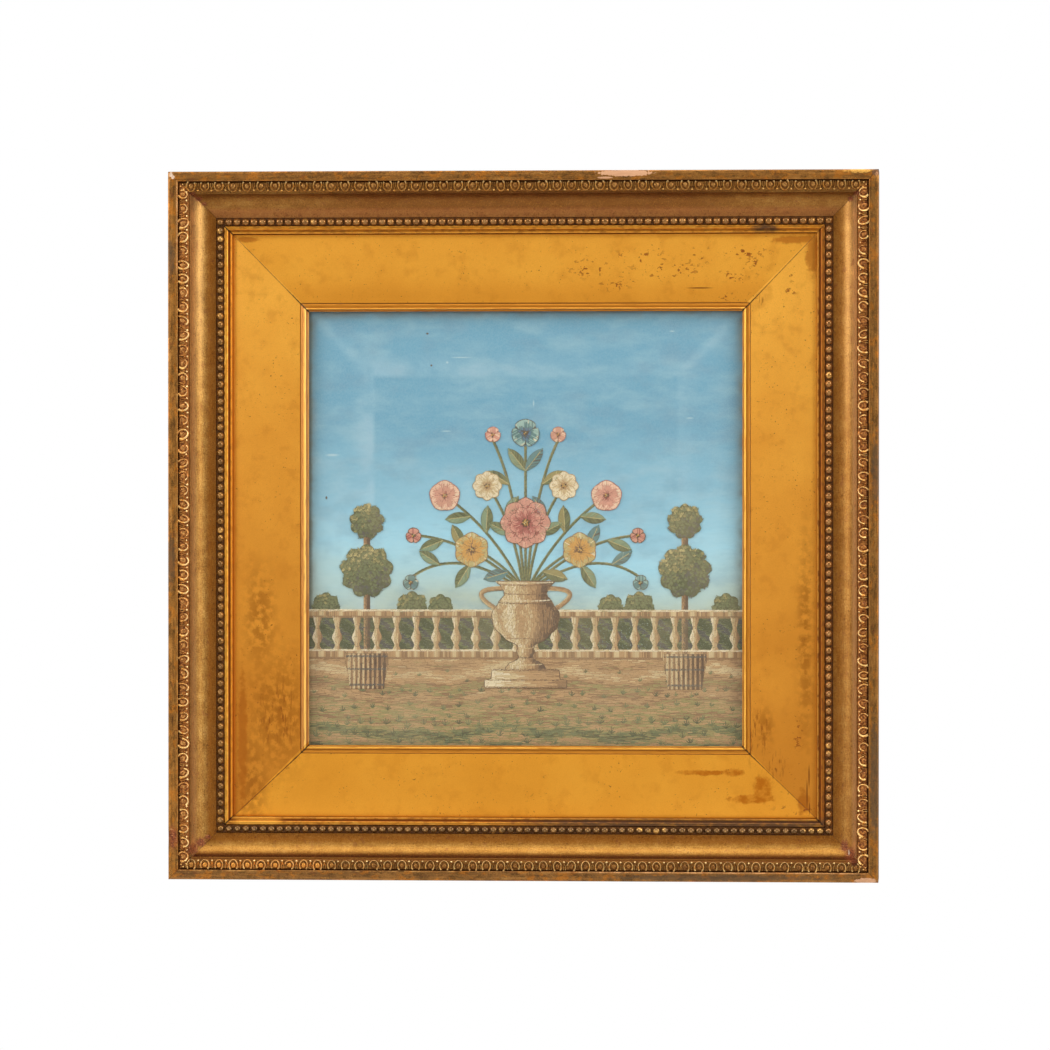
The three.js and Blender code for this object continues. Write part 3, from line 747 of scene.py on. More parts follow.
def bright_gilt():
    """Flat bright oil gilding with brown spots, stains, streaks and flaked places, and with painted light
    and shade: lighter towards the top, and shade under the rail's lip.
    """
    f = Finish("bright_gilt")
    at = place_on_front(f)
    bar = f.split(f.attribute("rail"))
    # Painted light: the left and right liners are lighter towards the top, and the top liner darker near
    # the slip; toning by side and at random is added.
    light_falloff_and_age = f.times(at["upright"], f.remap(at["upward"], 190, -190, smooth=False))
    light_falloff_and_age = f.math("ADD", light_falloff_and_age, by_side(f, at, 0.0, -0.06, 0.2, 0.36))
    near_slip = f.times(at["top"], f.remap(bar[2], 22, 3, 0, 0.35))
    light_falloff_and_age = f.math("ADD", light_falloff_and_age, near_slip)
    clouds = f.math("SUBTRACT", f.noise(50, detail=4), 0.5)
    light_falloff_and_age = f.math("ADD", light_falloff_and_age, f.times(clouds, 0.7))
    gold = f.ramp(
        light_falloff_and_age,
        [
            (0.0, linear(255, 184, 68)),
            (0.4, linear(238, 162, 54)),
            (0.75, linear(218, 142, 42)),
            (1.0, linear(206, 130, 34)),
        ],
    )
    grain = f.noise(0.8, detail=4, offset=2)
    gold = f.mix(f.remap(grain, 0.3, 0.75, 0.0, 0.2), gold, linear(196, 120, 32))
    smudge = f.remap(f.noise(10, detail=6, offset=71), 0.5, 0.72, 0, 0.3)
    gold = f.mix(smudge, gold, linear(196, 118, 28))
    gold = f.mix(by_side(f, at, 0.0, 0.0, 0.18, 0.28), gold, linear(226, 150, 0))
    cloud = f.times(f.near_any(CLOUDED, 1.9), f.remap(f.noise(5, detail=6, offset=74), 0.36, 0.6))
    gold = f.mix(f.times(cloud, 0.7), gold, linear(158, 90, 10))
    shown = f.math("SUBTRACT", bar[1], LINER_COVERED)
    # Painted shade on the liner close under the rail's lip, strongest on the left.
    lip_shade = f.times(f.remap(shown, 3.4, 0.2), by_side(f, at, 0.6, 0.2, 0.1, 0.3))
    gold = f.mix(lip_shade, gold, linear(182, 96, 16))
    soft_stain = f.times(f.patch(SOFT_STAINS, 3.5, wander=0.7, sharp=0.34), 0.7)
    gold = f.mix(soft_stain, gold, linear(174, 94, 8))
    stain = f.patch(STAINED, 4.2, wander=0.8, sharp=0.26)
    stain = f.times(stain, f.remap(f.noise(5, detail=5, offset=77), 0.34, 0.62, 0.4, 0.95))
    gold = f.mix(stain, gold, linear(188, 104, 0))
    run = f.remap(f.noise(1.8, detail=4, stretch=(0.9, 1, 4), offset=23), 0.52, 0.66)
    run = f.times(run, f.near_any(STREAKED, 1.6))
    gold = f.mix(f.times(run, 0.8), gold, linear(142, 72, 6))
    flakes = f.remap(f.noise(2.7, detail=6, stretch=(1.25, 1, 0.9), offset=27), 0.58, 0.61)
    flakes = f.times(flakes, f.near_any(FLAKED, 1.5))
    gold = f.mix(f.times(flakes, 0.88), gold, linear(140, 62, 12))
    flyspots = f.remap(f.noise(1.5, detail=2, offset=17), 0.68, 0.72)
    scattered_spots = f.remap(f.noise(22, detail=2, offset=8), 0.42, 0.6, 0, 0.8)
    gold = f.mix(f.times(flyspots, scattered_spots), gold, linear(134, 72, 16))
    joint = f.times(f.remap(bar[2], 0.75, 0.3), by_side(f, at, 0.45, 0.2, 0.5, 0.15))
    gold = f.mix(joint, gold, linear(110, 58, 16))
    # A painted shadow line in the gap under the rail's lip, strongest on the top.
    lip_shadow_line = f.times(f.remap(shown, 1.0, 0.5), by_side(f, at, 0.35, 0.3, 0.95, 0.6))
    gold = f.mix(lip_shadow_line, gold, linear(96, 46, 4))
    gold = f.mix(f.times(f.near_any(HAIRLINES, 0.9), 0.8), gold, linear(120, 60, 6))
    bold = f.math("ADD", f.times(f.near(spot(270, 782, 60, 60), 0.6), 0.3), 0.7)
    fading = f.times(bold, f.remap(shown, 1, 12, 0.5, 1))
    gold = f.mix(f.times(seam(f, 0.7), fading), gold, linear(120, 46, 4))
    sight_end = f.times(seam(f, 0.75), f.remap(bar[2], 12, 3))
    gold = f.mix(sight_end, gold, linear(26, 12, 4))
    fine = f.noise(0.6, detail=3, offset=4)
    return f.surface(
        Base_Color=gold,
        Metallic=0.7,
        Roughness=f.remap(fine, 0.3, 0.7, 0.36, 0.5),
        Normal=f.bump(f.math("ADD", grain, f.times(clouds, 2)), 0.2, 0.2),
    )


DULL_FILLET = spots((690, 823, 114, 5), (766, 230, 9, 4))
FRESH_FILLET = spot(256, 823, 16, 5)
OPEN_CORNERS = spots((233, 822, 8, 8), (231, 231, 7, 7), (819, 820, 4, 4))


def fillet_gilt():
    """Gilding on the two narrow fillets inside the beads, dull on the right and on most of the bottom,
    with shade painted in the cove and beside the beads.
    """
    f = Finish("fillet_gilt")
    at = place_on_front(f)
    rail = f.attribute("rail")
    across = f.split(rail)[1]
    streaks = f.noise(2.2, detail=4, stretch=(1.8, 1, 1), where=rail)
    gold = f.ramp(
        streaks,
        [
            (0.3, linear(206, 134, 40)),
            (0.5, linear(230, 158, 52)),
            (0.7, linear(244, 184, 76)),
        ],
    )
    gold = f.mix(by_side(f, at, 0.0, 0.76, 0.32, 0.4), gold, linear(112, 38, 0))
    gold = f.mix(by_side(f, at, 0.0, 0.14, 0.32, 0.1), gold, linear(206, 128, 0))
    inmost = f.remap(across, 41.4, 41.8)
    gold = f.mix(f.times(inmost, by_side(f, at, 0.75, 0.0, 0.0, 0.0)), gold, linear(236, 150, 40))
    gold = f.mix(f.times(inmost, by_side(f, at, 0.0, 0.3, 0.3, 0.2)), gold, linear(250, 184, 74))
    # Painted shade in the cove between the two fillets.
    cove_shade = f.times(between(f, across, *FILLET_COVE, 0.2), by_side(f, at, 0.95, 0.6, 0.3, 0.9))
    gold = f.mix(cove_shade, gold, linear(124, 56, 0))
    # Painted shade on the fillet's flank beside the beads.
    gold = f.mix(f.times(f.remap(across, 38.3, 37.5), 0.5), gold, linear(150, 86, 24))
    wear = f.noise(2.6, detail=5, stretch=(2, 1, 1), offset=31, where=rail)
    worn = f.times(f.remap(wear, 0.5, 0.62), by_side(f, at, 0.3, 0.75, 0.45, 0.5))
    gold = f.mix(worn, gold, linear(122, 66, 20))
    dull = f.times(f.near_any(DULL_FILLET, 0.7), f.remap(wear, 0.34, 0.56, 0.6, 0.95))
    gold = f.mix(f.times(dull, f.remap(across, 41.7, 41.2, 0.5, 1)), gold, linear(92, 62, 38))
    gold = f.mix(f.times(f.near(FRESH_FILLET, 0.5), 0.6), gold, linear(242, 176, 66))
    gold = f.mix(f.times(seam(f, 0.5), 0.8), gold, linear(88, 42, 12))
    gold = f.mix(f.times(seam(f, 1.1), f.near_any(OPEN_CORNERS, 0.4)), gold, linear(20, 10, 4))
    return f.surface(
        Base_Color=gold,
        Metallic=0.7,
        Roughness=f.remap(streaks, 0.3, 0.7, 0.44, 0.36),
        Normal=f.bump(streaks, 0.12, 0.15),
    )


def slip_gilt():
    """The slip's gilding, with light and shade painted across it: a highlight on the round, a shadow in
    the groove at its foot, and a highlight on the sight edge.
    """
    f = Finish("slip_gilt")
    at = place_on_front(f)
    rail = f.attribute("rail")
    zone = f.split(rail)[2]
    # Painted light and shade across the slip: a highlight on the round, a shadow line in the groove at its
    # foot, and a highlight on the sight edge.
    gold = f.ramp(
        zone,
        [
            (0.0, linear(208, 134, 44)),
            (0.24, linear(214, 142, 50)),
            (0.3, linear(176, 106, 36)),
            (0.36, linear(253, 196, 84)),
            (0.52, linear(253, 200, 90)),
            (0.6, linear(170, 102, 34)),
            (0.86, linear(186, 118, 42)),
            (0.92, linear(230, 166, 72)),
        ],
    )
    # Deeper painted shadow in the groove at the slip's foot, least on the left.
    foot = f.times(between(f, zone, *SLIP_FOOT, 0.06), by_side(f, at, 0.1, 0.5, 0.55, 0.85))
    gold = f.mix(foot, gold, linear(96, 50, 10))
    streaks = f.noise(1.4, detail=4, stretch=(10, 1, 1), where=rail)
    rubbed = f.remap(streaks, 0.48, 0.68, 0, 0.5)
    gold = f.mix(rubbed, gold, linear(144, 76, 14))
    # Painted shade on the round, strongest on the top slip, which faces down.
    dull = f.times(f.remap(zone, 0.2, 0.36, 0.3, 1), by_side(f, at, 0.0, 0.1, 0.5, 0.3))
    gold = f.mix(dull, gold, linear(158, 80, 0))
    gold = f.mix(by_side(f, at, 0.0, 0.24, 0.26, 0.24), gold, linear(212, 134, 0))
    gold = f.mix(by_side(f, at, 0.12, 0.0, 0.0, 0.0), gold, linear(226, 176, 140))
    gold = f.mix(seam(f, 1.1), gold, linear(20, 10, 4))
    return f.surface(
        Base_Color=gold,
        Metallic=0.7,
        Roughness=0.36,
        Normal=f.bump(streaks, 0.3, 0.15),
    )


def bare_wood(name, base, dark, seed, along_rail=False):
    """Planed softwood, darkened with age, with its grain along x or along the piece."""
    f = Finish(name)
    grain = f.attribute("rail") if along_rail else f.mm
    warp = f.noise(60, detail=2, offset=seed)
    rings = f.noise(2.4, detail=5, stretch=(34, 1, 1), where=grain, offset=seed * 1.37)
    tone = f.math("ADD", f.times(rings, 0.8), f.times(warp, 0.2))
    colour = f.ramp(tone, [(0.35, dark), (0.6, base)])
    fine = f.noise(0.5, detail=3, stretch=(20, 1, 1), where=grain, offset=4)
    pores = f.remap(fine, 0.56, 0.68, 0, 0.45)
    colour = f.mix(pores, colour, GRIME)
    return f.surface(
        Base_Color=colour,
        Roughness=0.75,
        Normal=f.bump(f.math("ADD", rings, fine), 0.4, 0.3),
    )


def glass():
    f = Finish("glass")
    clear = f.node("ShaderNodeBsdfTransparent")
    mirror = f.node("ShaderNodeBsdfGlossy")
    mirror.inputs["Roughness"].default_value = 0.04
    fresnel = f.node("ShaderNodeFresnel")
    fresnel.inputs["IOR"].default_value = 1.5
    back = f.node("ShaderNodeNewGeometry").outputs["Backfacing"]
    both = f.node("ShaderNodeMixShader")
    f.feed(both.inputs[0], f.times(fresnel.outputs[0], f.math("SUBTRACT", 1.0, back)))
    f.feed(both.inputs[1], clear.outputs[0])
    f.feed(both.inputs[2], mirror.outputs[0])
    f.feed(f.tree.nodes["Material Output"].inputs["Surface"], both.outputs[0])
    f.tree.nodes.remove(f.shader)
    return f.material


DARK_GILT = dark_gilt()
BRONZE_GILT = bronze_gilt()
ORNAMENT_GILT = ornament_gilt()
BRIGHT_GILT = bright_gilt()
FILLET_GILT = fillet_gilt()
SLIP_GILT = slip_gilt()
RAIL_WOOD = bare_wood("rail_wood", linear(176, 138, 92), linear(120, 84, 50), 1, along_rail=True)
STRAINER_WOOD = bare_wood("strainer_wood", linear(190, 150, 100), linear(140, 100, 62), 5)
BOARD_WOOD = bare_wood("board_wood", linear(158, 120, 80), linear(104, 74, 46), 9)
GLASS = glass()


# Outer rails

EDGE_FLAT = 6.9
EGG_BED = {"to": 14.3, "height": 41.6}
QUIRK = {"to": 15.4, "height": 40.4}
CAVETTO = {"to": 31.8, "low": 27.2, "steps": 22}
BEAD_BED = {"to": 37.5, "height": 26.2}
OUTER_FILLET = {"to": 40.2, "height": 28.0}
COVE = {"to": 41.7, "height": 25.6}
INNER_FILLET_HEIGHT = 26.1
LIP_WIDTH = 5.2
LIP_BACK = LINER_FRONT + 0.3
BRIGHT_FROM = 37.3
WOOD_HEIGHT = 26
RAIL_STATIONS = 240
# Chips at the outer edge: x, z, reach and depth
CHIPS = spots(
    (171, 174, 2.6, 1.0), (878, 176, 2.4, 0.8), (171, 838, 5.5, 0.8), (868, 879, 5.0, 0.6),
)


def rail_section():
    """The moulding, from its back outer corner round to the rebate, with its corners softened."""
    hollow_top = QUIRK["height"] - 0.5
    angles = np.linspace(0, math.pi / 2, CAVETTO["steps"] + 1)
    hollow = [
        (
            CAVETTO["to"] - (CAVETTO["to"] - QUIRK["to"]) * math.cos(angle),
            hollow_top - (hollow_top - CAVETTO["low"]) * math.sin(angle),
            0,
        )
        for angle in angles
    ]
    fillet_middle = (BEAD_BED["to"] + OUTER_FILLET["to"]) / 2
    return rounded(
        [
            (0, 0, 0),
            (0, WOOD_HEIGHT, 0),
            (0, DEPTH - 0.1, 0.9),
            (3.4, DEPTH, 0),
            (EDGE_FLAT, DEPTH - 0.1, 0.7),
            (EDGE_FLAT, EGG_BED["height"], 0.4),
            (EGG_BED["to"], EGG_BED["height"], 0.4),
            (EGG_BED["to"], QUIRK["height"], 0.3),
            (QUIRK["to"] - 0.1, QUIRK["height"], 0.3),
            *hollow,
            (CAVETTO["to"] + 0.2, BEAD_BED["height"], 0.2),
            (BEAD_BED["to"], BEAD_BED["height"], 0.3),
            (BEAD_BED["to"], OUTER_FILLET["height"] - 0.3, 0.6),
            (fillet_middle, OUTER_FILLET["height"], 0),
            (OUTER_FILLET["to"], OUTER_FILLET["height"] - 0.4, 0.5),
            (OUTER_FILLET["to"] + 0.1, COVE["height"], 0.9),
            (COVE["to"], COVE["height"], 0.6),
            (COVE["to"] + 0.1, INNER_FILLET_HEIGHT, 0.25),
            (RAIL_WIDTH, INNER_FILLET_HEIGHT - 0.1, 0.35),
            (RAIL_WIDTH, LIP_BACK, 0),
            (RAIL_WIDTH - LIP_WIDTH, LIP_BACK, 0),
            (RAIL_WIDTH - LIP_WIDTH, 0, 0),
        ]
    )


def outer_rail(side):
    section = rail_section()
    points, face_sets = swept(section, RAIL_WIDTH, RAIL_OUTER, RAIL_INNER, side, RAIL_STATIONS)
    along = along_side(points, side)
    across = np.broadcast_to(section[:, 0], along.shape)
    height = np.broadcast_to(section[:, 1], along.shape)
    seed = side_number(side) * 10
    front = np.clip((height - LIP_BACK - 1) / 4, 0, 1)
    points[..., 1] -= front * waver(along + across * 3, seed, 90, 0.1)
    rail = np.stack([along, across, height], -1).reshape(-1, 3)
    mitre = from_mitre(points)
    for x, z, reach, depth in CHIPS:
        near = np.hypot(points[..., 0] - x, points[..., 2] - z) / reach
        ragged = 1 + 0.35 * np.sin(points[..., 0] * 2.3 + points[..., 2] * 3.1 + x)
        points[..., 1] += depth * front * np.clip(1.3 * ragged - near, 0, 1) ** 0.5 * (near < 1.3)
    middle, level = ((section + np.roll(section, -1, 0)) / 2).T
    kinds = np.where(middle > BRIGHT_FROM, 1, 0)
    kinds[level < LIP_BACK + 0.5] = 2
    kinds[(middle < 0.2) & (level > WOOD_HEIGHT * 0.4)] = 0
    slots = np.concatenate([np.tile(kinds, RAIL_STATIONS), [2, 2]])
    piece = add_mesh(
        f"moulding_{side}",
        points.reshape(-1, 3),
        face_sets,
        slots=slots,
        attributes={"rail": rail, "mitre": mitre},
    )
    return finish_piece(
        piece, [DARK_GILT, FILLET_GILT, RAIL_WOOD], [f"outer_rail_{side}"]
    )


# Pressed ornament

EGG_STRIP = {"from": 7.8, "to": 14.0, "thickness": 0.9, "per_side": 48}
BEAD_STRIP = {"from": 32.1, "to": 37.2, "thickness": 0.7, "per_side": 71}
SEAT_GAP = 0.3
BEAD_RADIUS = 2.62
BEAD_LENGTH = 2.84
BEAD_LIFT = 0.45
RIDGE_SECTION = [(-1, -0.15), (-0.72, 0.62), (0, 1), (0.72, 0.62), (1, -0.15)]
HOOP_ARCS = {
    "level": [(-136, 136), (-130, 136), (-136, 128), (-136, 84)],
    "upright": [(-136, 136), (-136, 60), (-40, 136), (-70, 128), (-136, 104)],
}
CORNER_KNOBS = [8.9, 10.9, 12.9]
CORNER_SHARES = np.array([0.0031, 0.9969])
EGG_JITTER = {
    "level": {"scale": 0.09, "shift": 0.15, "turn": 0.12},
    "upright": {"scale": 0.16, "shift": 0.3, "turn": 0.42},
}
BEAD_JITTER = {"scale": 0.03, "shift": 0.08, "turn": 0.1}
RELIEF_SPAN = {"dark_gilt": 1.8, "bronze_gilt": 2.6}


def strip_base(strip, bed, side):
    """The flat backing of a pressed strip."""
    top = bed + SEAT_GAP + strip["thickness"]
    section = rounded(
        [
            (strip["from"], bed + SEAT_GAP, 0),
            (strip["from"], top, 0.3),
            (strip["to"], top, 0.3),
            (strip["to"], bed + SEAT_GAP, 0),
        ]
    )
    points, face_sets = swept(section, RAIL_WIDTH, RAIL_OUTER, RAIL_INNER, side, 4)
    return points.reshape(-1, 3), face_sets


def line_ends(side, across):
    """The two ends of a line at one distance across a side's rail."""
    share = across / RAIL_WIDTH
    return [RAIL_OUTER[c] * (1 - share) + RAIL_INNER[c] * share for c in SIDES[side]]


def placed(side, across, shares, height, draw, jitter):
    """Placements of small units: local x runs along the side, y out from the wall, z inward."""
    along = side_direction(side)
    inward = np.array([along[1], -along[0]])
    first, last = line_ends(side, across)
    middle = first + (last - first) * shares[:, None]
    axes = np.array([[along[0], 0, inward[0]], [0, -1, 0], [along[1], 0, inward[1]]])
    count = len(shares)
    scale = 1 + draw.uniform(-1, 1, (count, 3)) * jitter["scale"]
    shift = draw.uniform(-1, 1, (count, 2)) * jitter["shift"]
    turn = draw.uniform(-1, 1, count) * jitter["turn"]
    spin = np.zeros((count, 3, 3))
    spin[:, 0, 0] = spin[:, 2, 2] = np.cos(turn)
    spin[:, 0, 2] = np.sin(turn)
    spin[:, 2, 0] = -np.sin(turn)
    spin[:, 1, 1] = 1
    turned = np.einsum("ij,njk,nk->nik", axes, spin, scale)
    moved = middle + shift
    at = np.stack([moved[:, 0], np.full(count, -height), moved[:, 1]], -1)
    return {"turn": turned, "at": at}


def dome(radius, height, centre=(0, 0), sides=14, rings=6, foot=0.6):
    """A round or oval lump with local y as its height, closed below by one face."""
    radius_x, radius_z = radius
    angles = np.linspace(0, math.pi / 2 + 0.35, rings + 1)[1:]
    around = np.arange(sides) / sides * 2 * math.pi
    rings_points = [
        np.stack(
            [
                centre[0] + radius_x * math.sin(a) * np.cos(around),
                np.full(sides, max(-foot, foot_height(height, a))),
                centre[1] + radius_z * math.sin(a) * np.sin(around),
            ],
            -1,
        )
        for a in angles
    ]
    points = np.concatenate([[[centre[0], height, centre[1]]], *rings_points])
    return points, ring_faces(sides, rings)


def foot_height(height, angle):
    """The height of a lump's ring: round above, and tucked in slowly below."""
    if angle < math.pi / 2:
        return height * math.cos(angle)
    return -height * 0.4 * math.sin(angle - math.pi / 2)


def bead():
    """A round bead that stands on the strip by its lower part."""
    sides, rings = 16, 8
    angles = np.linspace(0, 1.75, rings + 1)[1:]
    around = np.arange(sides) / sides * 2 * math.pi
    points = [[[0, BEAD_RADIUS + BEAD_LIFT, 0]]]
    for a in angles:
        ring = np.stack(
            [
                BEAD_LENGTH * math.sin(a) * np.cos(around),
                np.full(sides, BEAD_LIFT + BEAD_RADIUS * math.cos(a)),
                BEAD_RADIUS * math.sin(a) * np.sin(around),
            ],
            -1,
        )
        points.append(ring)
    return np.concatenate(points), ring_faces(sides, rings)


def ring_faces(sides, rings):
    """Faces of a shape made of one top point and rings of points, closed below."""
    first = np.arange(sides)
    following = (first + 1) % sides
    fan = np.stack([np.zeros(sides, int), 1 + first, 1 + following], -1)
    quads = [
        np.stack(
            [
                1 + ring * sides + first,
                1 + (ring + 1) * sides + first,
                1 + (ring + 1) * sides + following,
                1 + ring * sides + following,
            ],
            -1,
        )
        for ring in range(rings - 1)
    ]
    bottom = (1 + (rings - 1) * sides + first)[None, ::-1]
    return [fan, np.concatenate(quads), bottom]


def ridge(path, half_width, height):
    """A rounded ridge along a path of (x, z) points, its two edges on the ground."""
    path = np.array(path, float)
    normal = to_left(path)
    half_width = np.broadcast_to(half_width, len(path))
    height = np.broadcast_to(height, len(path))
    rows = []
    for sideways, up in RIDGE_SECTION:
        flat = path + normal * (half_width * sideways)[:, None]
        rows.append(np.stack([flat[:, 0], height * up, flat[:, 1]], -1))
    return np.stack(rows, 1).reshape(-1, 3), tube_faces(len(path), len(rows))


def egg_unit(arc, hand):
    """One egg in what is left of its hoop, with local z running inward from the middle of the strip.
    The hoop is heavier at its outer ends and on one hand."""
    egg_height = 0.6 if hand else 0.9
    egg = dome((1.75, 2.05), egg_height, centre=(0, -0.85), sides=12, rings=4)
    angles = np.radians(np.linspace(*arc, 21))
    plan = np.stack([2.95 * np.sin(angles), -0.85 + 3.75 * np.cos(angles)], -1)
    ends = (np.abs(angles) / 2.37) ** 2
    heavy = np.clip(np.sin(angles) * hand, 0, 1)
    end_rise = 0.3 if hand else 0.75
    half_width = 0.8 if hand else 0.58
    hoop = ridge(plan, half_width + 0.15 * ends + 0.2 * heavy, 1.25 + end_rise * ends + 0.25 * heavy)
    return merged([egg, hoop])


def dart_unit():
    """Two short bars between two hoops, and a knob at the inner edge."""
    steps = np.linspace(-2.9, 0.2, 4)
    bars = [ridge(np.stack([np.full(4, x), steps], -1), 0.4, 1.3) for x in (-0.62, 0.62)]
    tongue = ridge([(0, -0.2), (0, 0.9), (0, 1.9)], np.array([0.6, 0.55, 0.4]), 1.1)
    knob = dome((1.05, 0.85), 1.45, centre=(0, 2.4), sides=8, rings=3)
    return merged([*bars, tongue, knob])


def ornament_piece(name, parts, top, material, slot, replaces):
    points, face_sets = merged(parts)
    relief = np.clip((-points[:, 1] - top) / RELIEF_SPAN[slot], 0, 1.3)
    piece = add_mesh(name, points, face_sets, sharp=50, attributes={"relief": relief})
    return finish_piece(piece, [material], replaces)


def egg_strip(side):
    draw = np.random.default_rng(SEED + 100 + side_number(side))
    count = EGG_STRIP["per_side"]
    top = EGG_BED["height"] + SEAT_GAP + EGG_STRIP["thickness"]
    middle = (EGG_STRIP["from"] + EGG_STRIP["to"]) / 2
    run = "level" if side in ("top", "bottom") else "upright"
    eggs = placed(side, middle, (np.arange(count) + 0.5) / count, top, draw, EGG_JITTER[run])
    darts = placed(side, middle, np.arange(1, count) / count, top, draw, EGG_JITTER[run])
    parts = [strip_base(EGG_STRIP, EGG_BED["height"], side), scattered(dart_unit(), darts)]
    knob = dome((0.85, 0.95), 1.3, sides=8, rings=3)
    for across in CORNER_KNOBS:
        ends = placed(side, across, CORNER_SHARES, top, draw, BEAD_JITTER)
        parts.append(scattered(knob, ends))
    arcs = HOOP_ARCS[run]
    hand = {"left": -1, "right": 1}.get(side, 0)
    picks = draw.integers(len(arcs), size=count)
    for i, arc in enumerate(arcs):
        chosen = {key: values[picks == i] for key, values in eggs.items()}
        if len(chosen["at"]):
            parts.append(scattered(egg_unit(arc, hand), chosen))
    return ornament_piece(
        f"egg_and_dart_{side}", parts, top, ORNAMENT_GILT, "dark_gilt", [f"egg_strip_{side}"]
    )


def bead_strip(side):
    draw = np.random.default_rng(SEED + 200 + side_number(side))
    count = BEAD_STRIP["per_side"]
    top = BEAD_BED["height"] + SEAT_GAP + BEAD_STRIP["thickness"]
    middle = (BEAD_STRIP["from"] + BEAD_STRIP["to"]) / 2
    corner_beads = side in ("top", "bottom")
    steps = np.arange(0 if corner_beads else 1, count + 1 if corner_beads else count)
    beads = placed(side, middle, steps / count, top, draw, BEAD_JITTER)
    parts = [strip_base(BEAD_STRIP, BEAD_BED["height"], side), scattered(bead(), beads)]
    return ornament_piece(
        f"beading_{side}", parts, top, BRONZE_GILT, "bronze_gilt", [f"bead_strip_{side}"]
    )


# Liner and slip

SLIP = {"groove": 22.75, "shoulder_height": 23.0, "rise": 1.2}
SLIP_SHOULDER = {"left": 1.6, "right": 2.6, "top": 2.6, "bottom": 2.7}
SLIP_ROUND = {"left": 2.3, "right": 1.8, "top": 1.6, "bottom": 2.0}
SLIP_ZONES = [0, 0.3, 0.6, 0.9, 1]
SLIP_EDGE = {"width": 0.6, "height": 21.4}


def liner_rail(side):
    start = SIDES[side][0]
    width = float(np.abs(LINER_INNER[start] - LINER_OUTER[start]).max())
    section = rounded(
        [
            (0, LINER_BACK, 0),
            (0, LINER_FRONT, 0.3),
            (width / 2, LINER_FRONT, 0),
            (width, LINER_FRONT, 0.35),
            (width, LINER_BACK, 0),
        ]
    )
    points, face_sets = swept(section, width, LINER_OUTER, LINER_INNER, side, 4)
    across = np.broadcast_to(section[:, 0], points.shape[:2])
    rail = np.stack([along_side(points, side), across, width - across], -1).reshape(-1, 3)
    piece = add_mesh(
        f"liner_{side}",
        points.reshape(-1, 3),
        face_sets,
        attributes={"rail": rail, "mitre": from_mitre(points)},
    )
    return finish_piece(piece, [BRIGHT_GILT], [f"liner_rail_{side}"])


def sight_slip(side):
    angles = np.linspace(0, math.pi, 9)
    shoulder = SLIP_SHOULDER[side]
    astragal = [
        (
            shoulder + SLIP_ROUND[side] * (1 - math.cos(a)) / 2,
            SLIP["shoulder_height"] + SLIP["rise"] * math.sin(a),
            0,
        )
        for a in angles
    ]
    section = rounded(
        [
            (0.06, SLIP_BACK, 0),
            (0.06, SLIP["groove"], 0.1),
            (0.5, SLIP["groove"], 0.1),
            (0.8, SLIP["shoulder_height"] - 0.1, 0.2),
            *astragal,
            (SLIP_WIDTH - SLIP_EDGE["width"], SLIP_EDGE["height"], 0.15),
            (SLIP_WIDTH, SLIP_EDGE["height"], 0.15),
            (SLIP_WIDTH, SLIP_BACK, 0),
        ]
    )
    points, face_sets = swept(section, SLIP_WIDTH, SLIP_OUTER, SIGHT, side, 40)
    along = along_side(points, side)
    points[..., 1] -= waver(along, 300 + side_number(side), 60, 0.05) * (points[..., 1] < -21)
    across = np.broadcast_to(section[:, 0], along.shape)
    edge = SLIP_WIDTH - SLIP_EDGE["width"]
    zone = np.interp(across, [0.3, shoulder, shoulder + SLIP_ROUND[side], edge, SLIP_WIDTH], SLIP_ZONES)
    rail = np.stack([along, across, zone], -1).reshape(-1, 3)
    piece = add_mesh(
        f"slip_{side}",
        points.reshape(-1, 3),
        face_sets,
        attributes={"rail": rail, "mitre": from_mitre(points)},
    )
    return finish_piece(piece, [SLIP_GILT], [f"sight_slip_{side}"])


for side in SIDES:
    outer_rail(side)
    egg_strip(side)
    bead_strip(side)
    liner_rail(side)
    sight_slip(side)


# Painted silk, stretched on the strainer

RELIEF = {"ground": 0.35, "wall": 0.5, "motif": 0.7, "flower": 0.8}
SILK_LOW, SILK_HIGH = box_mm("embroidered_silk")
SILK_FRONT = -SILK_LOW[1] - RELIEF["flower"]
STRAINER_INNER = -(edges("strainer_bar")[1]["top_left"] - SIGHT_CENTRE)[0]
SILK_EDGE = (SIGHT["top_right"] - SIGHT_CENTRE)[0]
SKY = [
    (0.0, linear(166, 174, 150)),
    (0.09, linear(162, 188, 184)),
    (0.22, linear(148, 194, 206)),
    (0.42, linear(122, 168, 184)),
    (0.6, linear(97, 148, 168)),
    (0.78, linear(97, 148, 168)),
]
SILK_SPECKS = spots((426, 333, 0.9, 0.7), (324, 498, 0.7, 1.1), (430, 365, 0.7, 0.7))
SILK_SCRATCHES = spots(
    (446, 362, 0.8, 0.8), (460, 357, 6.0, 0.4), (445, 431, 3.0, 0.4), (533, 403, 0.5, 2.0),
    (330, 455, 4.0, 0.8), (672, 331, 1.6, 0.5), (690, 418, 2.2, 0.4),
)


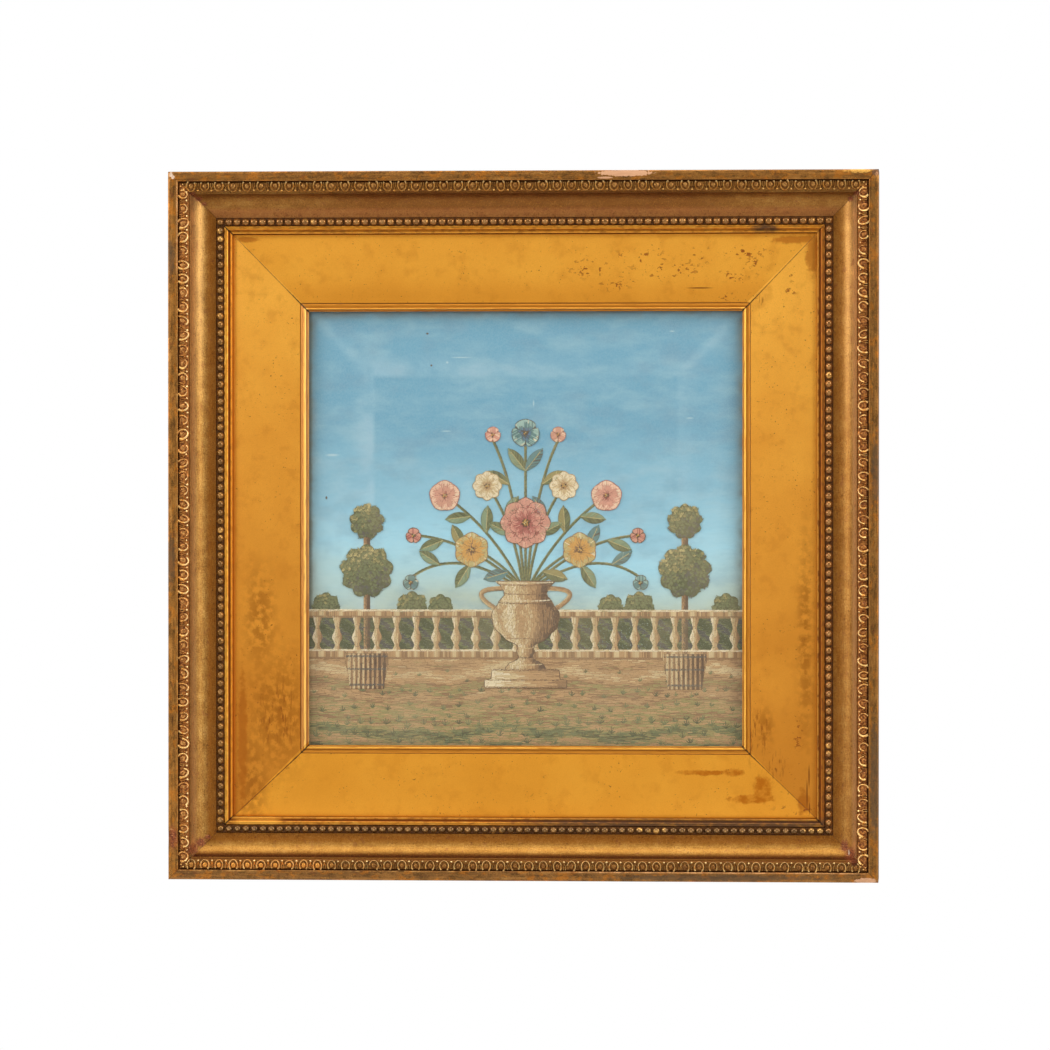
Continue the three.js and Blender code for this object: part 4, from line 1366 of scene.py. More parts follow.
def painted_silk():
    """A sky painted on plain silk: streaked, faded, rubbed along the strainer, brown at the edges, with
    shade painted under the slip along the top and left edges.
    """
    f = Finish("painted_silk")
    centred = f.vector("SUBTRACT", f.mm, (SIGHT_CENTRE[0], 0, SIGHT_CENTRE[1]))
    right, _, up = f.split(centred)
    height = f.remap(up, -60, 152, smooth=False)
    drift = f.noise(60, detail=3, stretch=(2.2, 1, 0.8), where=centred, offset=3)
    level = f.math("ADD", height, f.times(f.math("SUBTRACT", drift, 0.5), 0.3))
    sky = f.ramp(level, SKY)
    streaks = f.noise(11, detail=6, stretch=(2.6, 1, 1), where=centred)
    sky = f.mix(f.remap(streaks, 0.4, 0.72, 0, 0.24), sky, linear(168, 190, 190))
    smudges = f.noise(17, detail=7, stretch=(1.7, 1, 1), where=centred, offset=19)
    sky = f.mix(f.remap(smudges, 0.48, 0.7, 0, 0.3), sky, linear(104, 134, 150))
    brushed = f.noise(1.6, detail=4, stretch=(5, 1, 1), where=centred, offset=9)
    sky = f.mix(f.remap(brushed, 0.4, 0.7, 0, 0.1), sky, linear(96, 140, 158))
    speckle = f.noise(0.7, detail=3, where=centred, offset=29)
    sky = f.mix(f.remap(speckle, 0.36, 0.66, 0, 0.12), sky, linear(172, 196, 196))
    wide = f.math("ABSOLUTE", right)
    tall = f.math("ABSOLUTE", up)
    inner, outer = STRAINER_INNER - 1, STRAINER_INNER + 20
    edge = f.math("MAXIMUM", wide, tall)
    ghost = f.times(f.remap(edge, inner, inner + 4), f.remap(edge, outer, inner + 5))
    lefter = f.remap(right, 60, -110, 0.3, 1)
    patchy = f.remap(f.noise(24, detail=4, offset=13), 0.36, 0.6, 0.25, 1)
    ghost = f.times(f.times(ghost, lefter), patchy)
    mitre = f.remap(f.math("ABSOLUTE", f.math("SUBTRACT", wide, tall)), 9, 0)
    mitre = f.times(mitre, f.remap(tall, inner, inner + 10))
    ghost = f.math("MAXIMUM", ghost, f.times(f.times(mitre, patchy), 0.6))
    sky = f.mix(f.times(ghost, 0.28), sky, linear(178, 200, 204))
    # Darker towards the edges: partly grime, partly painted shade under the slip.
    edge_grime_and_shade = f.remap(edge, SILK_EDGE - 7, SILK_EDGE + 1)
    edge_grime_and_shade = f.times(edge_grime_and_shade, f.remap(f.noise(12, detail=4, offset=7), 0.3, 0.7, 0.2, 0.85))
    sky = f.mix(edge_grime_and_shade, sky, linear(116, 112, 92))
    # A painted shadow of the top slip along the top edge.
    sky = f.mix(f.remap(up, SILK_EDGE - 2.2, SILK_EDGE, 0, 0.6), sky, linear(84, 92, 92))
    # Darker still along the left edge: partly grime, partly painted shade under the slip.
    sky = f.mix(f.remap(right, 3 - SILK_EDGE, -SILK_EDGE, 0, 0.7), sky, linear(84, 84, 66))
    sky = f.mix(f.near_any(SILK_SPECKS, 0.8), sky, linear(92, 84, 66))
    sky = f.mix(f.times(f.near_any(SILK_SCRATCHES, 1.2), 0.4), sky, linear(196, 208, 200))
    warp = f.noise(0.32, detail=1, stretch=(7, 1, 1), where=centred, offset=5)
    weft = f.noise(0.32, detail=1, stretch=(1, 1, 7), where=centred, offset=6)
    return f.surface(
        Base_Color=sky,
        Roughness=0.62,
        Sheen_Weight=0.15,
        Normal=f.bump(f.math("ADD", warp, weft), 0.35, 0.1),
    )


def silk_sheet():
    count = 64
    across = np.linspace(SILK_LOW[0], SILK_HIGH[0], count + 1)
    upward = np.linspace(SILK_LOW[2], SILK_HIGH[2], count + 1)
    x, z = np.meshgrid(across, upward)
    slack = waver(x * 0.8 + z * 0.3, 600, 110, 0.08)
    front = np.stack([x, -SILK_FRONT - slack, z], -1).reshape(-1, 3)
    back = np.stack([x, np.full_like(x, SILK_HIGH[1]), z], -1).reshape(-1, 3)
    grid = np.arange((count + 1) ** 2).reshape(count + 1, count + 1)
    cells = np.stack([grid[:-1, :-1], grid[:-1, 1:], grid[1:, 1:], grid[1:, :-1]], -1).reshape(-1, 4)
    rim = np.concatenate([grid[0, :-1], grid[:-1, -1], grid[-1, :0:-1], grid[:0:-1, 0]])
    under = rim + len(front)
    edge = np.stack([under, np.roll(under, -1), np.roll(rim, -1), rim], -1)
    faces = [cells, cells[:, ::-1] + len(front), edge]
    piece = add_mesh("painted_silk", np.concatenate([front, back]), faces)
    return finish_piece(piece, [painted_silk()], ["embroidered_silk"])


# Needlework. Places are millimetres right and up from the middle of the sight

SILKS = {
    "ivory": (216, 202, 168),
    "cream": (196, 174, 130),
    "tan": (178, 144, 98),
    "brown": (146, 114, 76),
    "umber": (104, 80, 54),
    "slate": (96, 90, 78),
    "moss": (92, 92, 58),
    "green": (116, 118, 76),
    "olive": (150, 138, 86),
    "straw": (184, 168, 112),
    "sage": (132, 146, 112),
    "sea": (100, 130, 124),
    "mist": (150, 174, 160),
    "rose": (166, 98, 82),
    "pink": (200, 146, 122),
    "blush": (220, 186, 156),
    "gold": (198, 152, 78),
    "blue": (98, 122, 138),
}
STITCH_WIDTH = 0.62
STITCH_SPACING = 0.45
STITCH_DEPTH = 0.22
BED_SINK = 0.3


def inside(outline, places):
    """Which of the places lie inside a closed outline."""
    found = np.zeros(len(places), bool)
    for a, b in zip(outline, np.roll(outline, -1, 0)):
        spans = (a[1] > places[:, 1]) != (b[1] > places[:, 1])
        rise = b[1] - a[1] if b[1] != a[1] else 1.0
        reach = a[0] + (places[:, 1] - a[1]) / rise * (b[0] - a[0])
        found ^= spans & (places[:, 0] < reach)
    return found


def turned(places, angle):
    c, s = math.cos(angle), math.sin(angle)
    return places @ np.array([[c, s], [-s, c]])


def spans_of(outline, spacing):
    """Level rows across an outline: the level of each span and its two ends."""
    ahead = np.roll(outline, -1, 0)
    for level in np.arange(outline[:, 1].min() + spacing / 2, outline[:, 1].max(), spacing):
        crosses = (outline[:, 1] > level) != (ahead[:, 1] > level)
        a, b = outline[crosses], ahead[crosses]
        at = np.sort(a[:, 0] + (level - a[:, 1]) / (b[:, 1] - a[:, 1]) * (b[:, 0] - a[:, 0]))
        for first, last in at.reshape(-1, 2):
            yield level, first, last


class Needlework:
    """The stitches of one piece: padding under each motif, floss laid over it, and knots."""

    def __init__(self, seed):
        self.draw = np.random.default_rng(SEED + seed)
        self.beds = []
        self.rows = []
        self.knot_rows = []

    def dye(self, threads, value):
        """A dyed colour for each value from 0 to 1, picked from a short list of threads."""
        value = np.asarray(value) + self.draw.normal(0, 0.07, np.shape(value))
        pick = np.clip((value * len(threads)).astype(int), 0, len(threads) - 1)
        colours = np.array([linear(*SILKS[name]) for name in threads])[pick]
        return colours * self.draw.uniform(0.91, 1.09, np.shape(value))[..., None]

    def bed(self, outline, rise, thread):
        """Padding with the motif's outline, a little lower than its floss."""
        outline = np.asarray(outline, float)
        if signed_area(outline) < 0:
            outline = outline[::-1]
        count = len(outline)
        flat = [Vector((x, y, 0)) for x, y in outline]
        triangles = np.array(tessellate_polygon([flat]))
        sides = outline[triangles]
        edge_a, edge_b = sides[:, 1] - sides[:, 0], sides[:, 2] - sides[:, 0]
        turn = edge_a[:, 0] * edge_b[:, 1] - edge_a[:, 1] * edge_b[:, 0]
        triangles[turn < 0] = triangles[turn < 0][:, ::-1]
        points = np.empty((2, count, 3))
        points[..., 0] = outline[:, 0] + SIGHT_CENTRE[0]
        points[..., 2] = outline[:, 1] + SIGHT_CENTRE[1]
        points[0, :, 1] = -(SILK_FRONT + rise - STITCH_DEPTH)
        points[1, :, 1] = -(SILK_FRONT - BED_SINK)
        front = np.arange(count)
        ahead = np.roll(front, -1)
        walls = np.stack([front + count, ahead + count, ahead, front], -1)
        faces = [triangles, triangles[:, ::-1] + count, walls]
        colour = np.tile([*linear(*SILKS[thread]), 1], (2 * count, 1))
        self.beds.append((points.reshape(-1, 3), faces, colour))

    def lay(self, starts, ends, rise, colours, width=STITCH_WIDTH):
        """Straight stitches from start to end, each a low rounded ribbon."""
        starts, ends = np.atleast_2d(starts), np.atleast_2d(ends)
        count = len(starts)
        width = width * self.draw.uniform(0.85, 1.15, count)
        rise = rise + self.draw.uniform(-0.05, 0.05, count)
        self.rows.append((starts, ends, np.broadcast_to(rise, count), width, colours))

    def fill(self, outline, angle, rise, threads, value, lengths=(3.5, 6.5), bend=None):
        """Satin stitch where an outline is narrow, long-and-short stitch where it is wide.
        Rows run at an angle, and value(right, up) picks each stitch's thread."""
        level_outline = turned(np.asarray(outline, float), -angle)
        starts, ends = [], []
        for level, first, last in spans_of(level_outline, STITCH_SPACING):
            cuts = [first]
            if last - first > lengths[1] * 1.15:
                reach = first + self.draw.uniform(0.4, 1) * lengths[0]
                while reach < last - lengths[0] * 0.6:
                    cuts.append(reach)
                    reach += self.draw.uniform(*lengths)
            cuts.append(last)
            for a, b in zip(cuts[:-1], cuts[1:]):
                starts.append((a - 0.15, level))
                ends.append((b + 0.25, level))
        if not starts:
            return
        starts, ends = np.array(starts), np.array(ends)
        wobble = self.draw.uniform(-0.1, 0.1, (2, len(starts)))
        starts[:, 1] += wobble[0]
        ends[:, 1] += wobble[1]
        starts, ends = turned(starts, angle), turned(ends, angle)
        if bend:
            starts[:, 1] += bend(starts[:, 0])
            ends[:, 1] += bend(ends[:, 0])
        middle = (starts + ends) / 2
        colours = self.dye(threads, value(middle[:, 0], middle[:, 1]))
        self.lay(starts, ends, rise, colours)

    def along(self, path, width, rise, threads, value, length=3.2, slant=0.12):
        """Stem stitch in lines side by side along a path of points."""
        path = np.asarray(path, float)
        step = np.linalg.norm(np.diff(path, axis=0), axis=1)
        reach = np.concatenate([[0], np.cumsum(step)])
        normal = to_left(path)
        lines = max(1, round(width / STITCH_SPACING))
        offsets = (np.arange(lines) - (lines - 1) / 2) * STITCH_SPACING

        def at(distance, offset):
            place = [np.interp(distance, reach, path[:, k]) for k in (0, 1)]
            side = [np.interp(distance, reach, normal[:, k]) for k in (0, 1)]
            return np.stack([place[0] + side[0] * offset, place[1] + side[1] * offset], -1)

        for offset in offsets:
            first = np.arange(-self.draw.uniform(0, length), reach[-1], length * 0.85)
            a, b = np.clip(first, 0, reach[-1]), np.clip(first + length, 0, reach[-1])
            kept = b - a > 0.6
            a, b = a[kept], b[kept]
            across = offset / max(width, 0.01) + 0.5
            colours = self.dye(threads, value((a + b) / 2 / reach[-1], np.full(len(a), across)))
            self.lay(at(a, offset - slant), at(b, offset + slant), rise, colours)

    def tufts(self, outline, spacing, reach, rise, threads, value, aim, blades=5, spread=0.9):
        """Small fans of stitches scattered evenly inside an outline, as for foliage and grass."""
        outline = np.asarray(outline, float)
        low, high = outline.min(0), outline.max(0)
        grid = np.stack(
            np.meshgrid(
                np.arange(low[0], high[0], spacing), np.arange(low[1], high[1], spacing * 0.8)
            ),
            -1,
        )
        grid[1::2, :, 0] += spacing / 2
        places = grid.reshape(-1, 2)
        places = places + self.draw.uniform(-0.25, 0.25, places.shape) * spacing
        places = places[inside(outline, places)]
        direction = aim(places[:, 0], places[:, 1])
        tones = value(places[:, 0], places[:, 1]) + self.draw.uniform(-0.2, 0.2, len(places))
        for blade in np.linspace(-spread, spread, blades):
            turn = direction + blade + self.draw.uniform(-0.12, 0.12, len(places))
            length = reach * self.draw.uniform(0.75, 1.1, len(places)) * (1 - 0.25 * abs(blade))
            ends = places + np.stack([np.cos(turn), np.sin(turn)], -1) * length[:, None]
            self.lay(places, ends, rise + self.draw.uniform(0, 0.1), self.dye(threads, tones))

    def knots(self, places, rise, threads, value, radius=0.6):
        places = np.atleast_2d(places)
        self.knot_rows.append((places, rise, radius, self.dye(threads, value)))

    def knotted_disc(self, centre, radius, rise, threads):
        """A round centre filled with knots in a sunflower's spiral."""
        count = max(5, round((radius / 0.62) ** 2 * 0.8))
        index = np.arange(count) + 0.5
        reach = radius * np.sqrt(index / count)
        angle = index * math.pi * (3 - math.sqrt(5))
        places = np.stack([reach * np.cos(angle), reach * np.sin(angle)], -1) + centre
        self.knots(places, rise, threads, 1 - reach / radius)

    def ribbons(self):
        """All the stitches as one shape, with its colours: each stitch is given painted shade at its ends
        and sides and a painted highlight along its crest.
        """
        starts, ends, rise, width, colours = [np.concatenate(c) for c in zip(*self.rows)]
        run = ends - starts
        length = np.maximum(np.linalg.norm(run, axis=1), 1e-3)
        ahead = run / length[:, None]
        side = np.stack([-ahead[:, 1], ahead[:, 0]], -1) * (width / 2)[:, None]
        ease = np.minimum(length * 0.22, 0.7)[:, None] * ahead
        plan = np.stack(
            [
                starts,
                starts + ease + side,
                starts + ease,
                starts + ease - side,
                ends - ease + side,
                ends - ease,
                ends - ease - side,
                ends,
            ],
            1,
        )
        low, top = SILK_FRONT + rise - STITCH_DEPTH * 1.2, SILK_FRONT + rise
        height = np.stack([low, low, top, low, low, top, low, low], 1)
        points = np.empty((len(starts), 8, 3))
        points[..., 0] = plan[..., 0] + SIGHT_CENTRE[0]
        points[..., 1] = -height
        points[..., 2] = plan[..., 1] + SIGHT_CENTRE[1]
        bases = (np.arange(len(starts)) * 8)[:, None, None]
        near, far = [1, 2, 3], [4, 5, 6]
        tips, body = [], []
        for k in range(3):
            following = (k + 1) % 3
            tips.append([near[following], near[k], 0])
            tips.append([far[k], far[following], 7])
            body.append([near[k], near[following], far[following], far[k]])
        faces = [(np.array(f)[None] + bases).reshape(-1, len(f[0])) for f in (tips, body)]
        # Painted shade at each stitch's ends and sides, and a painted highlight on its crest.
        shade = np.array([0.72, 0.85, 1.06, 0.85, 0.85, 1.06, 0.85, 0.72])
        tint = np.ones((len(starts), 8, 4))
        tint[..., :3] = colours[:, None, :] * shade[None, :, None]
        return points.reshape(-1, 3), faces, tint.reshape(-1, 4)

    def knot_shapes(self):
        sides, rings = 7, 3
        parts = []
        for places, rise, radius, colours in self.knot_rows:
            unit, faces = dome((radius, radius), radius * 0.75, sides=sides, rings=rings, foot=0.2)
            count = len(places)
            at = np.empty((count, 3))
            at[:, 0] = places[:, 0] + SIGHT_CENTRE[0]
            at[:, 1] = -(SILK_FRONT + rise)
            at[:, 2] = places[:, 1] + SIGHT_CENTRE[1]
            turn = np.tile(np.diag([1.0, -1.0, -1.0]), (count, 1, 1))
            turn *= self.draw.uniform(0.85, 1.15, count)[:, None, None]
            points, face_sets = scattered((unit, faces), {"turn": turn, "at": at})
            tint = np.ones((count, len(unit), 4))
            tint[..., :3] = colours[:, None, :]
            parts.append((points, face_sets, tint.reshape(-1, 4)))
        return parts

    def piece(self, name):
        parts = [*self.beds, self.ribbons(), *self.knot_shapes()]
        points, face_sets = merged([part[:2] for part in parts])
        tint = np.clip(np.concatenate([part[2] for part in parts]), 0, 1)
        made = add_mesh(name, points, face_sets, sharp=70, attributes={"thread": tint})
        return finish_piece(made, [FLOSS])


def signed_area(outline):
    ahead = np.roll(outline, -1, 0)
    return float((outline[:, 0] * ahead[:, 1] - ahead[:, 0] * outline[:, 1]).sum() / 2)


def floss():
    """Loosely twisted silk, dyed stitch by stitch and a little faded; the thread colours carry the shade
    and highlight painted on each stitch.
    """
    f = Finish("silk_floss")
    # The thread attribute holds each stitch's dye times its painted shade and highlight.
    thread = f.node("ShaderNodeAttribute", attribute_name="thread").outputs["Color"]
    fade = f.noise(34, detail=3, offset=3)
    colour = f.mix(f.remap(fade, 0.4, 0.7, 0, 0.18), thread, linear(176, 158, 118))
    strand = f.noise(0.16, detail=2, offset=6)
    return f.surface(
        Base_Color=colour,
        Roughness=0.48,
        Sheen_Weight=0.2,
        Normal=f.bump(strand, 0.4, 0.06),
    )


def band(low, high, half):
    return [(-half, low), (half, low), (half, high), (-half, high)]


def profile_outline(rows, right, foot, steps=4):
    """The outline of something turned, from rows of (up, half width), with its curves eased."""
    rows = np.array(rows, float)
    share = np.linspace(0, len(rows) - 1, (len(rows) - 1) * steps + 1)
    up = np.interp(share, range(len(rows)), rows[:, 0])
    knot = np.minimum(share.astype(int), len(rows) - 2)
    eased = (1 - np.cos((share - knot) * math.pi)) / 2
    half = rows[knot, 1] * (1 - eased) + rows[knot + 1, 1] * eased
    right_side = np.stack([right + half, foot + up], -1)
    left_side = np.stack([right - half, foot + up], -1)[::-1]
    return np.concatenate([right_side, left_side])


def bloom_outline(right, up, radius, petals, steps=6):
    """A round shape with shallow notches between its petals."""
    count = petals * steps
    angle = np.arange(count) / count * 2 * math.pi
    share = (np.arange(count) % steps) / steps
    reach = radius * (1 - PETAL_DEPTH * (1 - np.abs(np.cos(share * math.pi))))
    return np.stack([right + reach * np.sin(angle), up + reach * np.cos(angle)], -1)


def curve_of(row, side, steps=24):
    start, bend, end = (np.array([side * p[0], p[1]], float) for p in row)
    t = np.linspace(0, 1, steps + 1)[:, None]
    return start * (1 - t) ** 2 + bend * 2 * t * (1 - t) + end * t**2


def mirrored(rows):
    return [(side * row[0], *row[1:]) for row in rows for side in ((1, -1) if row[0] > 0 else (1,))]


GROUND_TOP = -91
WORKED_EDGE = SILK_EDGE + 2.4
RAIL_BANDS = {"base": (-92, -85), "coping": (-63, -57)}
BALUSTER_FOOT, BALUSTER_PITCH, BALUSTER_COUNT = -86, 14, 22
BALUSTER = [(0, 3), (4, 1.5), (9, 3.6), (16, 1.4), (24, 3)]
SHRUBS = [(60, -55, 9), (80, -55, 11), (141, -55, 10)]
SHRUB_LOBES, TREE_LOBES = 7, 9
URN_FOOT = -100
URN = [
    (0, 15), (4, 13), (9, 4.5), (14, 6.5), (17, 5), (23, 15),
    (31, 22.5), (40, 24), (48, 19), (54, 14.5), (59, 17), (63, 21),
]
# Level lines round the urn: how far up, and the tone from dark to light
URN_LINES = [
    (-99.4, 0.3), (-95.6, 0.8), (-90.6, 0.1), (-84, 0.7), (-77, 0.2),
    (-52.4, 0.15), (-50.6, 0.85), (-46, 0.2), (-38, 0.9), (-39.6, 0.2),
]
PLINTH_LINES = [(-112, -111, 29), (-107, -106, 29), (-100, -99, 24)]
# Grass: from and to, how far apart its tufts stand, and their length
GRASS = [(-118, -98, 17, 3.2), (-136, -114, 12, 4.2), (-152, -132, 8.5, 5.2)]
PLINTH = [(-112, 29), (-106, 29), (-106, 24), (-99, 24)]
HANDLE, HANDLE_WIDTH = [(20, -57), (45, -42), (15, -42)], 3
TUB = [(-113, 12), (-92, 15), (-88, 15)]
TREE = {"right": 112, "foot": -90, "trunk": 4.5}
TREE_HEADS = [(-30, 19), (5, 12.5)]
STEMS = {
    "tulip": [(0, -40), (0, 10), (0, 58)],
    "sprig": [(1, -40), (6, 28), (23, 62)],
    "daisy": [(2, -40), (8, 4), (27, 30)],
    "pink": [(3, -40), (22, -2), (54, 21)],
    "gold": [(4, -40), (14, -26), (36, -14)],
    "bud": [(5, -40), (40, -8), (76, -5)],
    "bell": [(7, -40), (50, -12), (80, -34)],
}
STEM_WIDTH = 2
FLOWERS = [
    (0, 4, 18, 8, "rose"),
    (0, 67, 10, 3, "blue"),
    (23, 66, 5.5, 3, "pink"),
    (27, 30, 10.5, 8, "ivory"),
    (57, 23, 11, 5, "pink"),
    (38, -15, 12.5, 6, "gold"),
    (79, -5, 5.5, 3, "rose"),
    (81, -38, 5.5, 3, "blue"),
]
PETAL_THREADS = {
    "rose": ["umber", "rose", "rose", "pink", "pink", "blush"],
    "pink": ["rose", "pink", "pink", "blush", "ivory"],
    "ivory": ["tan", "cream", "ivory", "ivory"],
    "gold": ["brown", "gold", "gold", "straw", "ivory"],
    "blue": ["slate", "blue", "sea", "mist", "ivory"],
}
LEAVES = [
    ("tulip", 0.82, 38, 20, 8),
    ("sprig", 0.62, -42, 17, 7),
    ("daisy", 0.62, 55, 18, 8),
    ("daisy", 0.45, -45, 18, 8),
    ("pink", 0.55, 45, 19, 8.5),
    ("pink", 0.75, -50, 18, 8),
    ("bud", 0.55, 40, 18, 8),
    ("bud", 0.75, -38, 18, 8),
    ("bell", 0.4, -70, 19, 8.5),
    ("bell", 0.7, 45, 17, 7.5),
    ("gold", 0.35, -60, 18, 8.5),
]
LEAF_GREENS = [
    ["moss", "green", "sage", "olive"],
    ["slate", "sea", "sea", "mist"],
    ["moss", "green", "olive", "straw"],
]
PETAL_DEPTH = 0.16
STALK_WIDTH = 1.4
HEDGE_RISE = 0.12
TRUNK_RISE = 0.42


def steady(value):
    return lambda right, up: np.full(np.shape(right), value)


def ground(work):
    """Bands of tan and olive ground, darker towards the bottom, with tufts of grass."""
    outline = band(-WORKED_EDGE, GROUND_TOP, WORKED_EDGE)
    work.bed(outline, RELIEF["ground"], "brown")

    def value(right, up):
        depth = (GROUND_TOP - up) / (GROUND_TOP + WORKED_EDGE)
        bands = 0.5 + 0.5 * np.sin(up / 2.6 + waver(right, 700, 130, 2.2))
        return depth * 0.72 + bands * 0.3 - 0.04

    threads = ["cream", "tan", "tan", "brown", "olive", "tan", "olive", "green", "moss"]

    def bend(right):
        return waver(right, 701, 140, 0.8)

    work.fill(outline, 0, RELIEF["ground"], threads, value, (3.5, 7), bend)
    rise, greens, upright = RELIEF["ground"] + 0.08, ["olive", "green", "moss"], steady(math.pi / 2)
    for low, high, spacing, reach in GRASS:
        patch = band(low, high, WORKED_EDGE - 5)
        work.tufts(patch, spacing, reach, rise, greens, steady(0.6), upright)


def wall(work):
    """A balustrade before a clipped hedge."""
    work.fill(
        band(RAIL_BANDS["base"][1] - 1, RAIL_BANDS["coping"][0] + 1, WORKED_EDGE),
        0.0,
        HEDGE_RISE + STITCH_DEPTH,
        ["moss", "moss", "green", "slate"],
        lambda right, up: 0.5 + 0.4 * np.sin(right / 3.1 + up / 2.3),
        (2, 4),
    )
    for low, high in RAIL_BANDS.values():
        work.bed(band(low, high, WORKED_EDGE), RELIEF["wall"], "brown")

        def value(right, up):
            joint = np.abs((right / 28) % 1 - 0.5) > 0.48
            return 0.3 + 0.25 * np.sin(right * 0.23) * np.sin(right * 0.71) - 0.3 * joint

        threads = ["brown", "tan", "cream", "cream", "ivory"]
        edge = band(low + 1.2, high - 1.2, WORKED_EDGE)
        work.fill(edge, math.pi / 2, RELIEF["wall"], threads, value)
        for level, shade in ((high - 0.7, 0.85), (low + 0.7, 0.0)):
            line = np.stack([np.linspace(-WORKED_EDGE, WORKED_EDGE, 40), np.full(40, level)], -1)
            work.along(line, 1.3, RELIEF["wall"], threads, steady(shade), length=4)
    for i in range(BALUSTER_COUNT):
        right = (i - (BALUSTER_COUNT - 1) / 2) * BALUSTER_PITCH
        outline = profile_outline(BALUSTER, right, BALUSTER_FOOT)
        work.bed(outline, RELIEF["wall"], "tan")

        def stripes(x, up):
            return 0.62 - 0.11 * (x - right)

        stone = ["umber", "brown", "tan", "cream", "ivory"]
        work.fill(outline, math.pi / 2, RELIEF["wall"], stone, stripes, (3, 5))
    for right, up, radius in mirrored(SHRUBS):
        leaves = ["moss", "green", "green", "olive"]
        foliage(work, (right, up), radius, SHRUB_LOBES, RELIEF["ground"], leaves)


def turned_half(rows, foot):
    """Half the width of something turned, at any height."""
    rows = np.array(rows, float)
    return lambda up: np.interp(up, rows[:, 0] + foot, rows[:, 1])


def foliage(work, centre, radius, lobes, rise, threads):
    """A clipped head of leaves: lit from the upper left, its tufts fanning outward."""
    right, up = centre
    outline = bloom_outline(right, up, radius, lobes)
    work.bed(outline, rise, "moss")

    def value(x, y):
        return 0.5 + 0.33 * ((right - x) * 0.5 + (y - up)) / radius

    def aim(x, y):
        return np.arctan2(y - up + radius * 0.5, x - right)

    inner = bloom_outline(right, up, radius - 1.2, lobes)
    work.tufts(inner, 2.4, 3.0, rise, threads, value, aim)


def urn(work):
    """An urn with fluted body on a plinth, worked upright and shaded from the left."""
    stone = ["umber", "brown", "brown", "tan", "tan", "cream", "ivory"]
    outline = profile_outline(URN, 0, URN_FOOT)
    half = turned_half(URN, URN_FOOT)
    work.bed(outline, RELIEF["motif"], "brown")

    def value(right, up):
        turn = np.clip(right / np.maximum(half(up), 1), -1, 1)
        flutes = 0.1 * np.sin(np.arcsin(turn) * 9) * ((up > -80) & (up < -53))
        return 0.72 - 0.42 * (turn + 0.35) ** 2 - 0.18 * turn + flutes

    work.fill(outline, math.pi / 2, RELIEF["motif"], stone, value, (2, 3.5))
    work.along(closed(outline), 0.5, RELIEF["motif"] + 0.05, ["umber", "brown"], steady(0.4))
    sag = 0.9 * np.cos(np.linspace(-1.4, 1.4, 20))
    for up, tone in URN_LINES:
        reach = half(up) - 0.2
        line = np.stack([np.linspace(-reach, reach, 20), up - sag + 0.5], -1)
        work.along(line, 0.9, RELIEF["motif"] + 0.06, stone, steady(tone))
    outline = np.array([(x, up) for up, x in PLINTH] + [(-x, up) for up, x in PLINTH[::-1]], float)
    work.bed(outline, RELIEF["motif"], "tan")
    work.fill(outline, 0, RELIEF["motif"], stone, lambda right, up: 0.66 - 0.012 * right, (4, 7))
    work.along(closed(densely_round(outline)), 0.5, RELIEF["motif"] + 0.05, ["umber"], steady(0.4))
    for low, high, wide in PLINTH_LINES:
        line = [(-wide, (low + high) / 2), (wide, (low + high) / 2)]
        work.along(densely(line), 1.0, RELIEF["motif"] + 0.05, stone, steady(0.15))
    for side in (1, -1):
        path = curve_of(HANDLE, side)
        work.bed(ribbon_outline(path, HANDLE_WIDTH), RELIEF["motif"], "brown")
        work.along(path, HANDLE_WIDTH, RELIEF["motif"], stone, lambda reach, across: 0.25 + 0.5 * across)


def closed(outline):
    """An outline that comes back to its first point."""
    return np.concatenate([outline, outline[:1]])


def densely_round(outline, steps=8):
    """A straight-sided outline with more points along each side."""
    ahead = np.roll(outline, -1, 0)
    t = (np.arange(steps) / steps)[None, :, None]
    return (outline[:, None] * (1 - t) + ahead[:, None] * t).reshape(-1, 2)


def densely(line, steps=24):
    line = np.array(line, float)
    t = np.linspace(0, 1, steps)[:, None]
    return line[0] * (1 - t) + line[-1] * t


def ribbon_outline(path, width):
    side = to_left(path) * width / 2
    return np.concatenate([path - side, (path + side)[::-1]])


def trees(work):
    """A clipped tree in a staved tub on each side."""
    bark = ["umber", "umber", "brown", "tan"]
    for side in (1, -1):
        right = side * TREE["right"]
        outline = profile_outline(TUB, right, 0)
        work.bed(outline, RELIEF["motif"], "umber")

        def staves(x, up):
            return 0.45 + 0.35 * np.sin((x - right) * 1.9) - 0.02 * (x - right)

        work.fill(outline, math.pi / 2, RELIEF["motif"], ["umber", "brown", "tan", "cream"], staves)
        half = turned_half(TUB, 0)
        for up in (-110, -99, -90):
            reach = half(up)
            line = densely([(right - reach, up), (right + reach, up)])
            work.along(line, 1.4, RELIEF["motif"] + 0.06, ["slate", "umber"], steady(0.4))
        trunk = densely([(right, TREE["foot"]), (right, TREE_HEADS[1][0])])
        work.bed(ribbon_outline(trunk, TREE["trunk"]), TRUNK_RISE, "umber")
        work.along(trunk, TREE["trunk"], TRUNK_RISE, bark, lambda reach, across: 0.2 + 0.7 * across)
        leaves = ["moss", "slate", "green", "green", "olive", "straw"]
        for up, radius in TREE_HEADS:
            foliage(work, (right, up), radius, TREE_LOBES, RELIEF["motif"], leaves)


def petal_outline(centre, angle, near, far, width, steps=10):
    """A broad petal with a rounded tip, pointing at an angle taken clockwise from straight up."""
    t = np.linspace(0, 1, steps + 1)
    half = width / 2 * np.sin(math.pi * (0.12 + 0.88 * t) ** 1.25) ** 0.75
    reach = near + (far - near) * t
    ahead = np.array([math.sin(angle), math.cos(angle)])
    side = np.array([ahead[1], -ahead[0]])
    line = centre + ahead * reach[:, None]
    return np.concatenate([line + side * half[:, None], (line - side * half[:, None])[-2:0:-1]])


